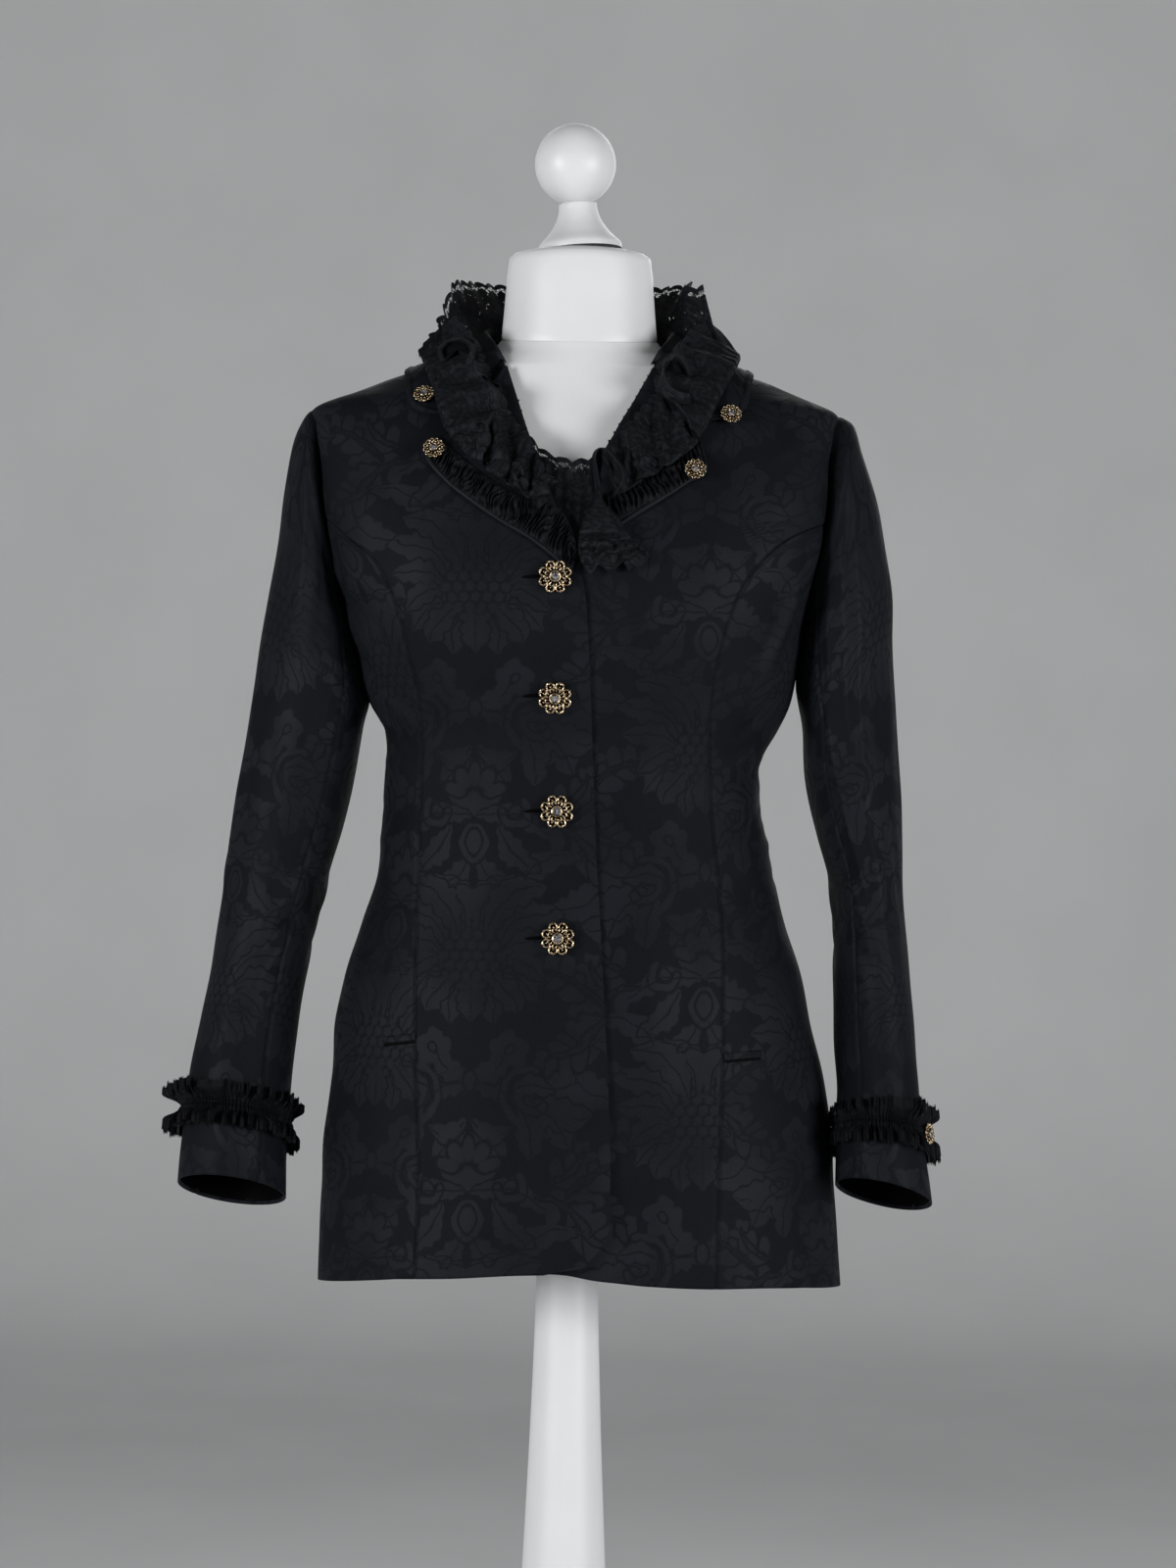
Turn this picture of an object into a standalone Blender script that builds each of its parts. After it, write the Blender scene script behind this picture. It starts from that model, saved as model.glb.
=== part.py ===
"""A fitted lady's blazer with lace trims, on a limbless dress form with a round stand.

Metres, +Z up. The origin is the middle of the stand's underside, on the floor.
The front faces -Y. Left and right are the wearer's: the right side lies at -X.

The cloth's outer face is one smooth figure, given by BODY: a row for each height, with the
reach to each side, to the front and to the back, and how square the section is. Every body
panel is a stretch of that figure between two seams. Whatever lies on a panel is made of the
figure's own points, moved out. A sleeve is a row of tilted oval rings.
"""

import math

import bmesh
import bpy
import numpy as np
from mathutils import Matrix, Vector

# ---- driving sizes -------------------------------------------------------------------------

WALL = 0.0016  # jacket cloth with its inner layer
LACE = 0.0012  # lace, gathered or plain
SEAM_GAP = 0.0008  # between two panels at a seam
SLEEVE_SEAM_GAP = 0.0019  # between the two halves of a sleeve
SEAT_GAP = 0.0003  # between hard pieces that rest on each other

HEM_HEIGHT = 0.690  # at the side seams
HEM_RISE = 0.028  # how much higher the hem is at the centre front
HEM_RISE_TOP = 0.860  # the rise fades out below this height
NECK_EDGE = 1.434  # where the panels end, under the collar

ARMHOLE_MIDDLE = 1.312
ARMHOLE_HALF_HEIGHT = 0.074
ARMHOLE_HALF_DEPTH = 0.052
ARMHOLE_TOP = ARMHOLE_MIDDLE + ARMHOLE_HALF_HEIGHT
JOINT_HEIGHT = 1.295  # where the princess seams run into the armhole

SIDES = {"right": -1, "left": 1}
FRONT, BACK = 90.0, 270.0  # turns about the figure, from +X through the front

# ---- tables --------------------------------------------------------------------------------

# height, reach to the right, to the left, to the front, to the back, squareness of the section
BODY = (
    (0.690, 0.1995, 0.2170, 0.1420, 0.150, 2.20),
    (0.760, 0.1977, 0.2115, 0.1380, 0.150, 2.20),
    (0.800, 0.1966, 0.2095, 0.1360, 0.147, 2.20),
    (0.857, 0.1903, 0.2022, 0.1320, 0.140, 2.20),
    (0.896, 0.1885, 0.1922, 0.1280, 0.132, 2.20),
    (0.935, 0.1803, 0.1847, 0.1240, 0.124, 2.20),
    (0.974, 0.1682, 0.1717, 0.1190, 0.114, 2.25),
    (1.013, 0.1562, 0.1617, 0.1120, 0.105, 2.30),
    (1.053, 0.1528, 0.1534, 0.1070, 0.099, 2.30),
    (1.092, 0.1510, 0.1481, 0.1045, 0.096, 2.30),
    (1.112, 0.1500, 0.1518, 0.1050, 0.096, 2.35),
    (1.131, 0.1525, 0.1620, 0.1070, 0.098, 2.40),
    (1.151, 0.1635, 0.1715, 0.1120, 0.101, 2.50),
    (1.175, 0.1715, 0.1765, 0.1190, 0.105, 2.60),
    (1.205, 0.1790, 0.1790, 0.1255, 0.110, 2.70),
    (1.240, 0.1885, 0.1870, 0.1270, 0.114, 3.00),
    (1.290, 0.2010, 0.1990, 0.1150, 0.115, 3.40),
    (1.340, 0.2075, 0.2035, 0.0960, 0.108, 3.60),
    (1.370, 0.2105, 0.2055, 0.0820, 0.097, 3.40),
    (1.386, 0.2095, 0.2050, 0.0730, 0.088, 3.00),
    (1.398, 0.1790, 0.1780, 0.0670, 0.082, 2.60),
    (1.408, 0.1540, 0.1550, 0.0630, 0.077, 2.40),
    (1.420, 0.1180, 0.1190, 0.0590, 0.072, 2.30),
    (1.429, 0.0880, 0.0880, 0.0560, 0.070, 2.20),
    (1.434, 0.0780, 0.0780, 0.0550, 0.069, 2.20),
)

# height, x of the princess seam on the right front, on the left front, on both back halves
PRINCESS = (
    (0.690, 0.1165, 0.1145, 0.104),
    (0.785, 0.1150, 0.1160, 0.103),
    (0.888, 0.1195, 0.1183, 0.098),
    (0.986, 0.1202, 0.1165, 0.087),
    (1.065, 0.1197, 0.1089, 0.079),
    (1.111, 0.1185, 0.1060, 0.078),
    (1.151, 0.1200, 0.1062, 0.082),
    (1.181, 0.1272, 0.1098, 0.088),
    (1.214, 0.1358, 0.1185, 0.099),
    (1.241, 0.1454, 0.1290, 0.113),
    (1.262, 0.1590, 0.1440, 0.131),
    (1.278, 0.1780, 0.1620, 0.155),
)

# height, x of the overlapping right front's edge, x of the left front's edge under it
FRONT_EDGE = (
    (0.690, -0.0240, -0.030),
    (0.699, 0.0010, -0.026),
    (0.711, 0.0190, -0.022),
    (0.735, 0.0305, -0.022),
    (0.765, 0.0320, -0.022),
    (0.968, 0.0231, -0.022),
    (1.035, 0.0186, -0.022),
    (1.163, 0.0124, -0.022),
    (1.211, 0.0095, -0.021),
    (1.237, 0.0069, -0.014),
    (1.252, 0.0030, 0.002),
    (1.272, -0.0060, 0.013),
    (1.300, -0.0165, 0.023),
    (1.335, -0.0310, 0.034),
    (1.372, -0.0450, 0.045),
    (1.410, -0.0550, 0.055),
    (1.434, -0.0660, 0.066),
)
OVERLAP_SINK = 0.0029  # how far the left front lies under the right one
OVERLAP_START = 0.008  # beyond the right front's edge it starts to come back out
OVERLAP_EASE = 0.030  # and over this width it does

PANEL_HEIGHTS = (
    *(0.690, 0.702, 0.716, 0.735, 0.765, 0.805, 0.845, 0.883, 0.930, 0.975, 1.020, 1.066, 1.092),
    *(1.115, 1.140, 1.170, 1.205, 1.240, 1.268, JOINT_HEIGHT, 1.325, 1.352, 1.372, ARMHOLE_TOP),
    *(1.396, 1.408, 1.420, NECK_EDGE),
)

# Sleeve rings, from the cap to the cuff: outer point x and z, inner point x and z,
# y of the middle, half depth, forward tilt in degrees
SLEEVES = {
    "right": (
        (0.2215, 1.3780, 0.1895, 1.2270, 0.000, 0.0600, 0),
        (0.2290, 1.3580, 0.1900, 1.2150, 0.000, 0.0610, 0),
        (0.2335, 1.3200, 0.1890, 1.2020, 0.000, 0.0620, 0),
        (0.2365, 1.2800, 0.1860, 1.1860, 0.000, 0.0625, 0),
        (0.2450, 1.2350, 0.1800, 1.1690, 0.001, 0.0625, 0),
        (0.2540, 1.1950, 0.1730, 1.1520, 0.002, 0.0620, 0),
        (0.2620, 1.1550, 0.1705, 1.1320, 0.003, 0.0610, 0),
        (0.2690, 1.1050, 0.1745, 1.0940, 0.004, 0.0590, 0),
        (0.2765, 1.0600, 0.1850, 1.0480, 0.004, 0.0570, 2),
        (0.2830, 1.0180, 0.1960, 1.0080, 0.003, 0.0550, 4),
        (0.2860, 0.9750, 0.2065, 0.9640, 0.000, 0.0530, 7),
        (0.2910, 0.9365, 0.2140, 0.9260, -0.006, 0.0515, 10),
        (0.2980, 0.8980, 0.2190, 0.8880, -0.014, 0.0505, 12),
        (0.3040, 0.8600, 0.2220, 0.8500, -0.023, 0.0500, 14),
        (0.3060, 0.8200, 0.2230, 0.8100, -0.033, 0.0495, 16),
        (0.3070, 0.7760, 0.2228, 0.7640, -0.045, 0.0490, 17),
    ),
    "left": (
        (0.2165, 1.3780, 0.1890, 1.2270, 0.000, 0.0600, 0),
        (0.2210, 1.3550, 0.1900, 1.2150, 0.000, 0.0620, 0),
        (0.2240, 1.3180, 0.1905, 1.2020, 0.000, 0.0640, 0),
        (0.2300, 1.2800, 0.1900, 1.1860, 0.000, 0.0650, 0),
        (0.2420, 1.2430, 0.1870, 1.1690, 0.001, 0.0655, 0),
        (0.2445, 1.2030, 0.1840, 1.1520, 0.002, 0.0660, 0),
        (0.2490, 1.1580, 0.1825, 1.1320, 0.003, 0.0655, 0),
        (0.2515, 1.1050, 0.1850, 1.0940, 0.004, 0.0640, 0),
        (0.2560, 1.0580, 0.1945, 1.0480, 0.004, 0.0620, 2),
        (0.2565, 1.0150, 0.2060, 1.0080, 0.003, 0.0600, 4),
        (0.2575, 0.9750, 0.2095, 0.9640, 0.000, 0.0585, 7),
        (0.2600, 0.9365, 0.2105, 0.9260, -0.006, 0.0570, 10),
        (0.2640, 0.8980, 0.2115, 0.8880, -0.014, 0.0560, 12),
        (0.2685, 0.8600, 0.2135, 0.8510, -0.024, 0.0545, 14),
        (0.2770, 0.8200, 0.2155, 0.8120, -0.035, 0.0530, 16),
        (0.2860, 0.7780, 0.2170, 0.7690, -0.048, 0.0520, 17),
    ),
}
FRONT_SLEEVE_SEAM = 126.0  # degrees about the sleeve, from its outer side through the front
BACK_SLEEVE_SEAM = -40.0

# Collar, from the centre back to its front end: roll x, y, z, then the outer edge x, y, z
COLLAR = (
    (0.000, 0.0765, 1.4620, 0.000, 0.0850, 1.4020),
    (0.044, 0.0680, 1.4610, 0.062, 0.0800, 1.3990),
    (0.071, 0.0370, 1.4570, 0.112, 0.0560, 1.3990),
    (0.077, 0.0020, 1.4500, 0.133, 0.0050, 1.4170),
    (0.073, -0.0290, 1.4410, 0.133, -0.0420, 1.3980),
    (0.066, -0.0450, 1.4310, 0.126, -0.0680, 1.3760),
    (0.059, -0.0520, 1.4190, 0.095, -0.0770, 1.3685),
)
COLLAR_LIFT = 0.0019  # from the figure to the collar's fall
COLLAR_BULGE = 0.0020  # how far the fall bows up between roll and edge
COLLAR_BOW = 1.4  # and the bow ends where this times the share across is 1
STAND_REACH = 3.4  # the stand ends this many collar rows from the centre back
STAND_INSET = 0.0030  # from the roll to the stand's top
STAND_DROP = 0.0030

# Lapels, from the break to the gorge: roll x and z, outer edge x and z
LAPELS = {
    "right": (
        (-0.0010, 1.2570, -0.0030, 1.2480),
        (-0.0100, 1.2850, -0.0325, 1.2716),
        (-0.0235, 1.3200, -0.0667, 1.2925),
        (-0.0370, 1.3550, -0.1014, 1.3187),
        (-0.0470, 1.3850, -0.1174, 1.3426),
        (-0.0560, 1.4140, -0.0925, 1.3625),
    ),
    "left": (
        (0.0140, 1.2760, 0.0170, 1.2735),
        (0.0210, 1.2980, 0.0385, 1.2880),
        (0.0300, 1.3270, 0.0630, 1.3040),
        (0.0390, 1.3570, 0.0850, 1.3190),
        (0.0480, 1.3860, 0.1005, 1.3304),
        (0.0565, 1.4140, 0.0925, 1.3625),
    ),
}
LAPEL_LIFT = 0.0010  # from the panel to the turned-over cloth
ROLL_LIFT = 0.0022  # more at the roll
BAND_LIFT = 0.0045  # from the panel to the ruched lace on the lapel
BAND_PUCKER = 0.0006
FRILL_LIFT = 0.0064  # from the panel to the gathered lace over lapel and collar

# Ruched bands on the lapels, from the lapel's lower end to the notch: inner x and z, outer x and z
BANDS = {
    "right": (
        (-0.0150, 1.2740, -0.0270, 1.2700),
        (-0.0290, 1.3080, -0.0480, 1.2840),
        (-0.0480, 1.3290, -0.0670, 1.2960),
        (-0.0700, 1.3480, -0.0880, 1.3120),
        (-0.0920, 1.3640, -0.1150, 1.3440),
    ),
    "left": (
        (0.0290, 1.3000, 0.0360, 1.2900),
        (0.0420, 1.3200, 0.0500, 1.2985),
        (0.0570, 1.3370, 0.0660, 1.3090),
        (0.0720, 1.3500, 0.0820, 1.3200),
        (0.0860, 1.3600, 0.0970, 1.3340),
    ),
}

# Gathered lace beside the opening, from the shoulder down: sewn edge x, y, z, free edge x, y, z
FRILLS = {
    "right": (
        (-0.0790, 0.0100, 1.4600, -0.1260, 0.0140, 1.4330),
        (-0.0720, -0.0330, 1.4440, -0.1280, -0.0420, 1.4180),
        (-0.0600, -0.0530, 1.4230, -0.1040, -0.0720, 1.3860),
        (-0.0500, -0.0660, 1.3960, -0.0950, -0.0850, 1.3620),
        (-0.0400, -0.0810, 1.3660, -0.0740, -0.0990, 1.3380),
        (-0.0280, -0.0980, 1.3360, -0.0480, -0.1120, 1.3150),
        (-0.0140, -0.1130, 1.3040, -0.0230, -0.1200, 1.2900),
    ),
    "left": (
        (0.0790, 0.0100, 1.4600, 0.1260, 0.0140, 1.4330),
        (0.0720, -0.0330, 1.4440, 0.1290, -0.0420, 1.4170),
        (0.0600, -0.0530, 1.4230, 0.1020, -0.0720, 1.3820),
        (0.0480, -0.0660, 1.3960, 0.0900, -0.0880, 1.3500),
        (0.0360, -0.0840, 1.3600, 0.0740, -0.1050, 1.3200),
        (0.0230, -0.1050, 1.3200, 0.0620, -0.1180, 1.2870),
        (0.0080, -0.1180, 1.2820, 0.0450, -0.1260, 1.2600),
    ),
}
FRILL_FLUTES = {"right": 7, "left": 6}
FRILL_WAVE = 0.0042

# Lace across the foot of the neckline: height, x of its right side, x of its left side
INSET = (
    (1.2700, -0.0090, 0.0110),
    (1.2900, -0.0160, 0.0175),
    (1.3100, -0.0235, 0.0245),
    (1.3300, -0.0320, 0.0300),
    (1.3450, -0.0380, 0.0300),
)
INSET_SINK = 0.0020

# Standing lace about the nape, from the centre back to each side: foot, bend and top,
# each with x, y, z
NAPE = (
    (0.000, 0.0684, 1.4460, 0.000, 0.0712, 1.4680, 0.000, 0.0840, 1.4985),
    (0.041, 0.0600, 1.4460, 0.042, 0.0634, 1.4680, 0.052, 0.0780, 1.4985),
    (0.063, 0.0355, 1.4460, 0.066, 0.0370, 1.4640, 0.090, 0.0560, 1.4970),
    (0.069, 0.0120, 1.4420, 0.072, 0.0120, 1.4580, 0.102, 0.0250, 1.4840),
)
NAPE_FLUTES = 9
NAPE_WAVE = 0.0035

CUFF_GATHER = 13.72  # where the gathers are sewn, counted in sleeve rings
CUFF_FRILLS = {"upper": (-0.50, 0.0080), "lower": (0.86, 0.0090)}  # reach in rings, flare
CUFF_FLUTES = 10
CUFF_SPARE = 0.20  # share of the flare and waves left on the side next to the body
CUFF_WAVE = 0.0030
CUFF_LIFT = 0.0010  # from the sleeve to the gathers
CUFF_SPLIT = 0.02  # in rings, from the gathers' middle to each frill
CUFF_SIDE = (-1.0, -0.3)  # cosines between which the full flare sets in

# Pocket welts: x and height of the end near the front, then of the end near the side
POCKETS = {"right": (-0.1225, 0.8890, -0.1490, 0.8850), "left": (0.1205, 0.8775, 0.1500, 0.8785)}
POCKET_HEIGHT = 0.008
POCKET_LIFT = 0.0003

BIG_BUTTON = 0.0130  # radius
SMALL_BUTTON = 0.0086
FRONT_BUTTONS = ((-0.0164, 1.2479), (-0.0145, 1.1548), (-0.0119, 1.0662), (-0.0099, 0.9689))
# x, height and lift of the four small ones on collar and lapels
COLLAR_BUTTONS = {
    "collar_right": (-0.1195, 1.3905, 0.0042),
    "lapel_right": (-0.1085, 1.3460, 0.0066),
    "collar_left": (0.1180, 1.3850, 0.0034),
    "lapel_left": (0.0925, 1.3330, 0.0072),
}
# turn and ring on the sleeve, and lift from it
CUFF_BUTTONS = {"right": (-28.0, 14.20, 0.0095), "left": (-4.0, 14.20, 0.0082)}
# Share of the radius, height as a share of the radius, depth of the lobes
BUTTON_PROFILE = (
    (0.30, 0.00, 0.0),
    (0.30, 0.20, 0.0),
    (0.94, 0.24, 0.08),
    (0.94, 0.36, 0.08),
    (0.44, 0.50, 0.0),
)
STONE_PROFILE = ((0.36, 0.0), (0.36, 0.08), (0.20, 0.20))
BUTTON_LOBES = 8

# Dress form: height and how far it stays inside the cloth's outer face
FORM_INSET = (
    (0.800, 0.0140),
    (0.900, 0.0110),
    (1.000, 0.0090),
    (1.090, 0.0085),
    (1.150, 0.0100),
    (1.220, 0.0120),
    (1.290, 0.0150),
    (1.350, 0.0110),
    (1.386, 0.0061),
    (1.408, 0.0043),
    (1.429, 0.0036),
)
FORM_FOOT = 0.800
FORM_HEIGHTS = (
    *(0.800, 0.806, 0.830, 0.880, 0.930, 0.975, 1.015, 1.055, 1.092, 1.130, 1.170, 1.205, 1.240),
    *(1.290, 1.340, 1.372, 1.386, 1.396, 1.408, 1.420),
)
FORM_FOOT_ROUNDING = 0.010
FORM_FOOT_EDGE = 0.005  # height of the rounding
FORM_TURNS = (0, 10, 22, 36, 52, 70, 90, 110, 128, 144, 158, 170)
# Neck: height, half width, reach to the front, to the back
NECK = (
    (1.428, 0.0790, 0.0530, 0.0650),
    (1.434, 0.0690, 0.0520, 0.0620),
    (1.443, 0.0625, 0.0510, 0.0600),
)
NECK_FOOT = 1.424
NECK_SEAM = 1.443
NECK_TILT = 0.15  # the seam falls this much towards the front
NECK_MIDDLE = 0.0045  # y of the neck's middle
# Neck cap: height, half width and half depth
CAP = (
    (1.4433, 0.0625, 0.0555),
    (1.4600, 0.0610, 0.0545),
    (1.4850, 0.0590, 0.0530),
    (1.5040, 0.0572, 0.0515),
    (1.5115, 0.0545, 0.0490),
    (1.5140, 0.0490, 0.0440),
)
# Finial: radius and height above its foot
FINIAL = (
    (0.0335, 0.0000),
    (0.0335, 0.0035),
    (0.0255, 0.0125),
    (0.0190, 0.0220),
    (0.0158, 0.0310),
    (0.0150, 0.0375),
)
BALL_RADIUS = 0.0325
BALL_MIDDLE = 0.0692  # above the finial's foot
FINIAL_LEAN = math.radians(4.0)
# Column of the stand: radius and height
COLUMN = (
    (0.0860, 0.0183),
    (0.0700, 0.0500),
    (0.0570, 0.1200),
    (0.0470, 0.2200),
    (0.0385, 0.3400),
    (0.0333, 0.4600),
    (0.0285, 0.5700),
    (0.0250, 0.6800),
    (0.0240, FORM_FOOT - SEAT_GAP),
)
PLATE_RADIUS = 0.170
PLATE_HEIGHT = 0.018
PLATE_EDGE = 0.004  # bevel

# name: colour, roughness, metallic
MATERIALS = {
    "white_shell": ((0.78, 0.78, 0.78), 0.45, 0.0),
    "damask": ((0.012, 0.013, 0.017), 0.55, 0.0),
    "lace": ((0.009, 0.009, 0.012), 0.70, 0.0),
    "gold_metal": ((0.62, 0.42, 0.20), 0.30, 1.0),
    "clear_stone": ((0.80, 0.80, 0.82), 0.08, 0.0),
}


# ---- reading the tables --------------------------------------------------------------------


def read(table, column, value):
    """One column of a table at any value of its first column, on a smooth curve."""
    rows = np.array(table, dtype=float)
    keys, found = rows[:, 0], rows[:, column]
    if value <= keys[0]:
        return float(found[0])
    if value >= keys[-1]:
        return float(found[-1])
    slopes = np.gradient(found, keys)
    at = int(np.searchsorted(keys, value)) - 1
    step = keys[at + 1] - keys[at]
    share = (value - keys[at]) / step
    rest = 1 - share
    return float(
        found[at] * (1 + 2 * share) * rest**2
        + found[at + 1] * share**2 * (3 - 2 * share)
        + step * share * rest * (slopes[at] * rest - slopes[at + 1] * share)
    )


def read_row(rows, place):
    """A whole row between two rows, where place counts rows from 0."""
    keyed = [(index, *row) for index, row in enumerate(rows)]
    return [read(keyed, column, place) for column in range(1, len(rows[0]) + 1)]


def ease(value, low, high):
    share = min(max((value - low) / (high - low), 0.0), 1.0)
    return share * share * (3 - 2 * share)


# ---- the figure ----------------------------------------------------------------------------

SECTIONS = {}  # sections already read, by height


def section(height):
    key = round(height, 6)
    if key not in SECTIONS:
        SECTIONS[key] = [read(BODY, column, height) for column in range(1, 6)]
    return SECTIONS[key]


def reach(height, side, turn_sine):
    """Half width, half depth and squareness of one quarter of a section."""
    right, left, front, back, square = section(height)
    return (left if side > 0 else right), (front if turn_sine >= 0 else back), square


def rise(turn, height):
    """How much the hem's curve lifts a point of the figure."""
    forward = max(math.sin(math.radians(turn)), 0.0)
    return HEM_RISE * forward**1.3 * (1 - ease(height, HEM_HEIGHT, HEM_RISE_TOP))


def bare_point(turn, height):
    cosine, sine = math.cos(math.radians(turn)), math.sin(math.radians(turn))
    width, depth, square = reach(height, cosine, sine)
    radius = (abs(cosine / width) ** square + abs(sine / depth) ** square) ** (-1 / square)
    return Vector((radius * cosine, -radius * sine, height + rise(turn, height)))


def outward(turn, height):
    along = bare_point(turn + 0.5, height) - bare_point(turn - 0.5, height)
    up = bare_point(turn, height + 0.001) - bare_point(turn, height - 0.001)
    return up.cross(along).normalized()


def body_point(turn, height, lift=0.0):
    """The figure at a turn and a height, moved out by lift."""
    return bare_point(turn, height) + outward(turn, height) * lift


def turn_at_x(x, height, facing):
    """The turn where the front or back of a section has this x."""
    width, depth, square = reach(height, x, 1 if facing == FRONT else -1)
    share = min(abs(x) / width, 1.0)
    y = depth * (1 - share**square) ** (1 / square)
    turn = math.degrees(math.atan2(y, x))
    return turn if facing == FRONT else 360 - turn


def turn_at_y(y, height, side):
    """The turn where one side of a section has this y, forward being above 0."""
    width, depth, square = reach(height, side, y)
    x = width * max(1 - (abs(y) / depth) ** square, 0.0) ** (1 / square)
    return math.degrees(math.atan2(y, side * x)) % 360


def front_point(x, height, lift=0.0):
    return body_point(turn_at_x(x, height, FRONT), height, lift)


def depth_outside(point):
    """About how far a point lies outside the figure, and the way out there."""

    def value(place):
        width, depth, square = reach(place.z, place.x, -place.y)
        share = abs(place.x / width) ** square + abs(place.y / depth) ** square
        return share ** (1 / square) - 1

    step = 0.0005
    slope = Vector(
        (
            (value(point + axis * step) - value(point - axis * step)) / (2 * step)
            for axis in (Vector((1, 0, 0)), Vector((0, 1, 0)), Vector((0, 0, 1)))
        )
    )
    return value(point) / slope.length, slope.normalized()


def kept_clear(point, clearance):
    """The point itself, or moved out until it is this far from the figure."""
    for _ in range(6):
        if point.z > BODY[-1][0]:
            break
        distance, way_out = depth_outside(point)
        if distance >= clearance:
            break
        point = point + way_out * (clearance - distance)
    return point


# ---- seams ---------------------------------------------------------------------------------


def shifted(turn, height, distance):
    """A turn moved along the section by a distance."""
    radius = math.hypot(*bare_point(turn, height)[:2])
    return turn + math.degrees(distance / radius)


def armhole_depth(height):
    share = (height - ARMHOLE_MIDDLE) / ARMHOLE_HALF_HEIGHT
    return ARMHOLE_HALF_DEPTH * math.sqrt(max(1 - share**2, 0.0))


def armhole_turn(side_name, facing, height):
    forward = armhole_depth(height) * (1 if facing == FRONT else -1)
    return turn_at_y(forward, height, SIDES[side_name])


def princess_turn(side_name, facing, height):
    """The seam from the hem into the armhole, on the front or on the back."""
    side = SIDES[side_name]
    joint = bare_point(armhole_turn(side_name, facing, JOINT_HEIGHT), JOINT_HEIGHT)
    column = 3 if facing == BACK else (1 if side_name == "right" else 2)
    rows = [(row[0], row[column]) for row in PRINCESS] + [(JOINT_HEIGHT, abs(joint.x))]
    return turn_at_x(side * read(rows, 1, height), height, facing)


def outer_turn(side_name, facing, height):
    """The outer boundary of a front or back: princess seam, armhole, then shoulder seam."""
    if height <= JOINT_HEIGHT:
        return princess_turn(side_name, facing, height)
    if height < ARMHOLE_TOP:
        return armhole_turn(side_name, facing, height)
    return side_turn(side_name, facing)


def side_turn(side_name, facing):
    """The side seam and the shoulder seam: 180 on the right, 0 or 360 on the left."""
    if side_name == "right":
        return 180.0
    return 0.0 if facing == FRONT else 360.0


# ---- meshes --------------------------------------------------------------------------------

PARTS = bpy.data.collections.new("blazer_on_dress_form")


def material(name):
    if name in bpy.data.materials:
        return bpy.data.materials[name]
    colour, roughness, metallic = MATERIALS[name]
    made = bpy.data.materials.new(name)
    made.use_nodes = True
    shader = made.node_tree.nodes["Principled BSDF"]
    shader.inputs["Base Color"].default_value = (*colour, 1)
    shader.inputs["Roughness"].default_value = roughness
    shader.inputs["Metallic"].default_value = metallic
    return made


def place(name, mesh, surface):
    piece = bpy.data.objects.new(name, mesh)
    piece.data.materials.append(material(surface))
    PARTS.objects.link(piece)
    return piece


def finish(mesh, smooth_angle=50):
    mesh.shade_smooth()
    mesh.set_sharp_from_angle(angle=math.radians(smooth_angle))
    return mesh


def grid_mesh(name, grid, around=False):
    """A sheet through a grid of points, facing up x across, closed round if asked."""
    shape = bmesh.new()
    rows = [[shape.verts.new(point) for point in row] for row in grid]
    for low, high in zip(rows, rows[1:]):
        pairs = list(zip(low, low[1:], high, high[1:]))
        if around:
            pairs.append((low[-1], low[0], high[-1], high[0]))
        for low_a, low_b, high_a, high_b in pairs:
            shape.faces.new((low_a, low_b, high_b, high_a))
    mesh = bpy.data.meshes.new(name)
    shape.to_mesh(mesh)
    shape.free()
    return mesh


def cloth(name, grid, surface="damask", wall=WALL, around=False, flip=False):
    """A sheet of cloth whose outer face is the grid, as thick as wall towards the inside."""
    mesh = grid_mesh(name, grid, around)
    if flip:
        mesh.flip_normals()
    piece = place(name, finish(mesh), surface)
    shell = piece.modifiers.new("wall", "SOLIDIFY")
    shell.thickness = wall
    shell.offset = -1
    return piece


def closed_loft(name, rings, surface, smooth_angle=50):
    """A solid through closed rings, with flat ends."""
    shape = bmesh.new()
    loops = [[shape.verts.new(point) for point in ring] for ring in rings]
    for low, high in zip(loops, loops[1:]):
        for index in range(len(low)):
            after = (index + 1) % len(low)
            shape.faces.new((low[index], low[after], high[after], high[index]))
    shape.faces.new(reversed(loops[0]))
    shape.faces.new(loops[-1])
    mesh = bpy.data.meshes.new(name)
    shape.to_mesh(mesh)
    shape.free()
    return place(name, finish(mesh, smooth_angle), surface)


def turned(name, profile, surface, steps=24):
    """A solid turned about Z from radii and heights, closed on the axis at both ends."""
    points = [(0.0, profile[0][1]), *profile, (0.0, profile[-1][1])]
    mesh = bpy.data.meshes.new(name)
    vertices = [(radius, 0, height) for radius, height in reversed(points)]
    mesh.from_pydata(vertices, [(at, at + 1) for at in range(len(vertices) - 1)], [])
    piece = place(name, mesh, surface)
    screw = piece.modifiers.new("turn", "SCREW")
    screw.steps = screw.render_steps = steps
    screw.use_merge_vertices = True
    screw.merge_threshold = 0.00005
    screw.use_smooth_shade = False
    return piece


# ---- body panels ---------------------------------------------------------------------------


def panel_grid(from_turn, to_turn, shares, heights, lift=None):
    """Points of the figure between two seams, which are functions of the height."""
    grid = []
    for height in heights:
        start, stop = from_turn(height), to_turn(height)
        turns = [start + (stop - start) * share for share in shares]
        grid.append(
            [body_point(turn, height, lift(turn, height) if lift else 0.0) for turn in turns]
        )
    return grid


def overlap_lift(turn, height):
    """The left front sinks under the right one and comes out again beside its edge."""
    edge = read(FRONT_EDGE, 1, height)
    beyond = bare_point(turn, height).x - edge
    return -OVERLAP_SINK * (1 - ease(beyond, OVERLAP_START, OVERLAP_START + OVERLAP_EASE))


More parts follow.
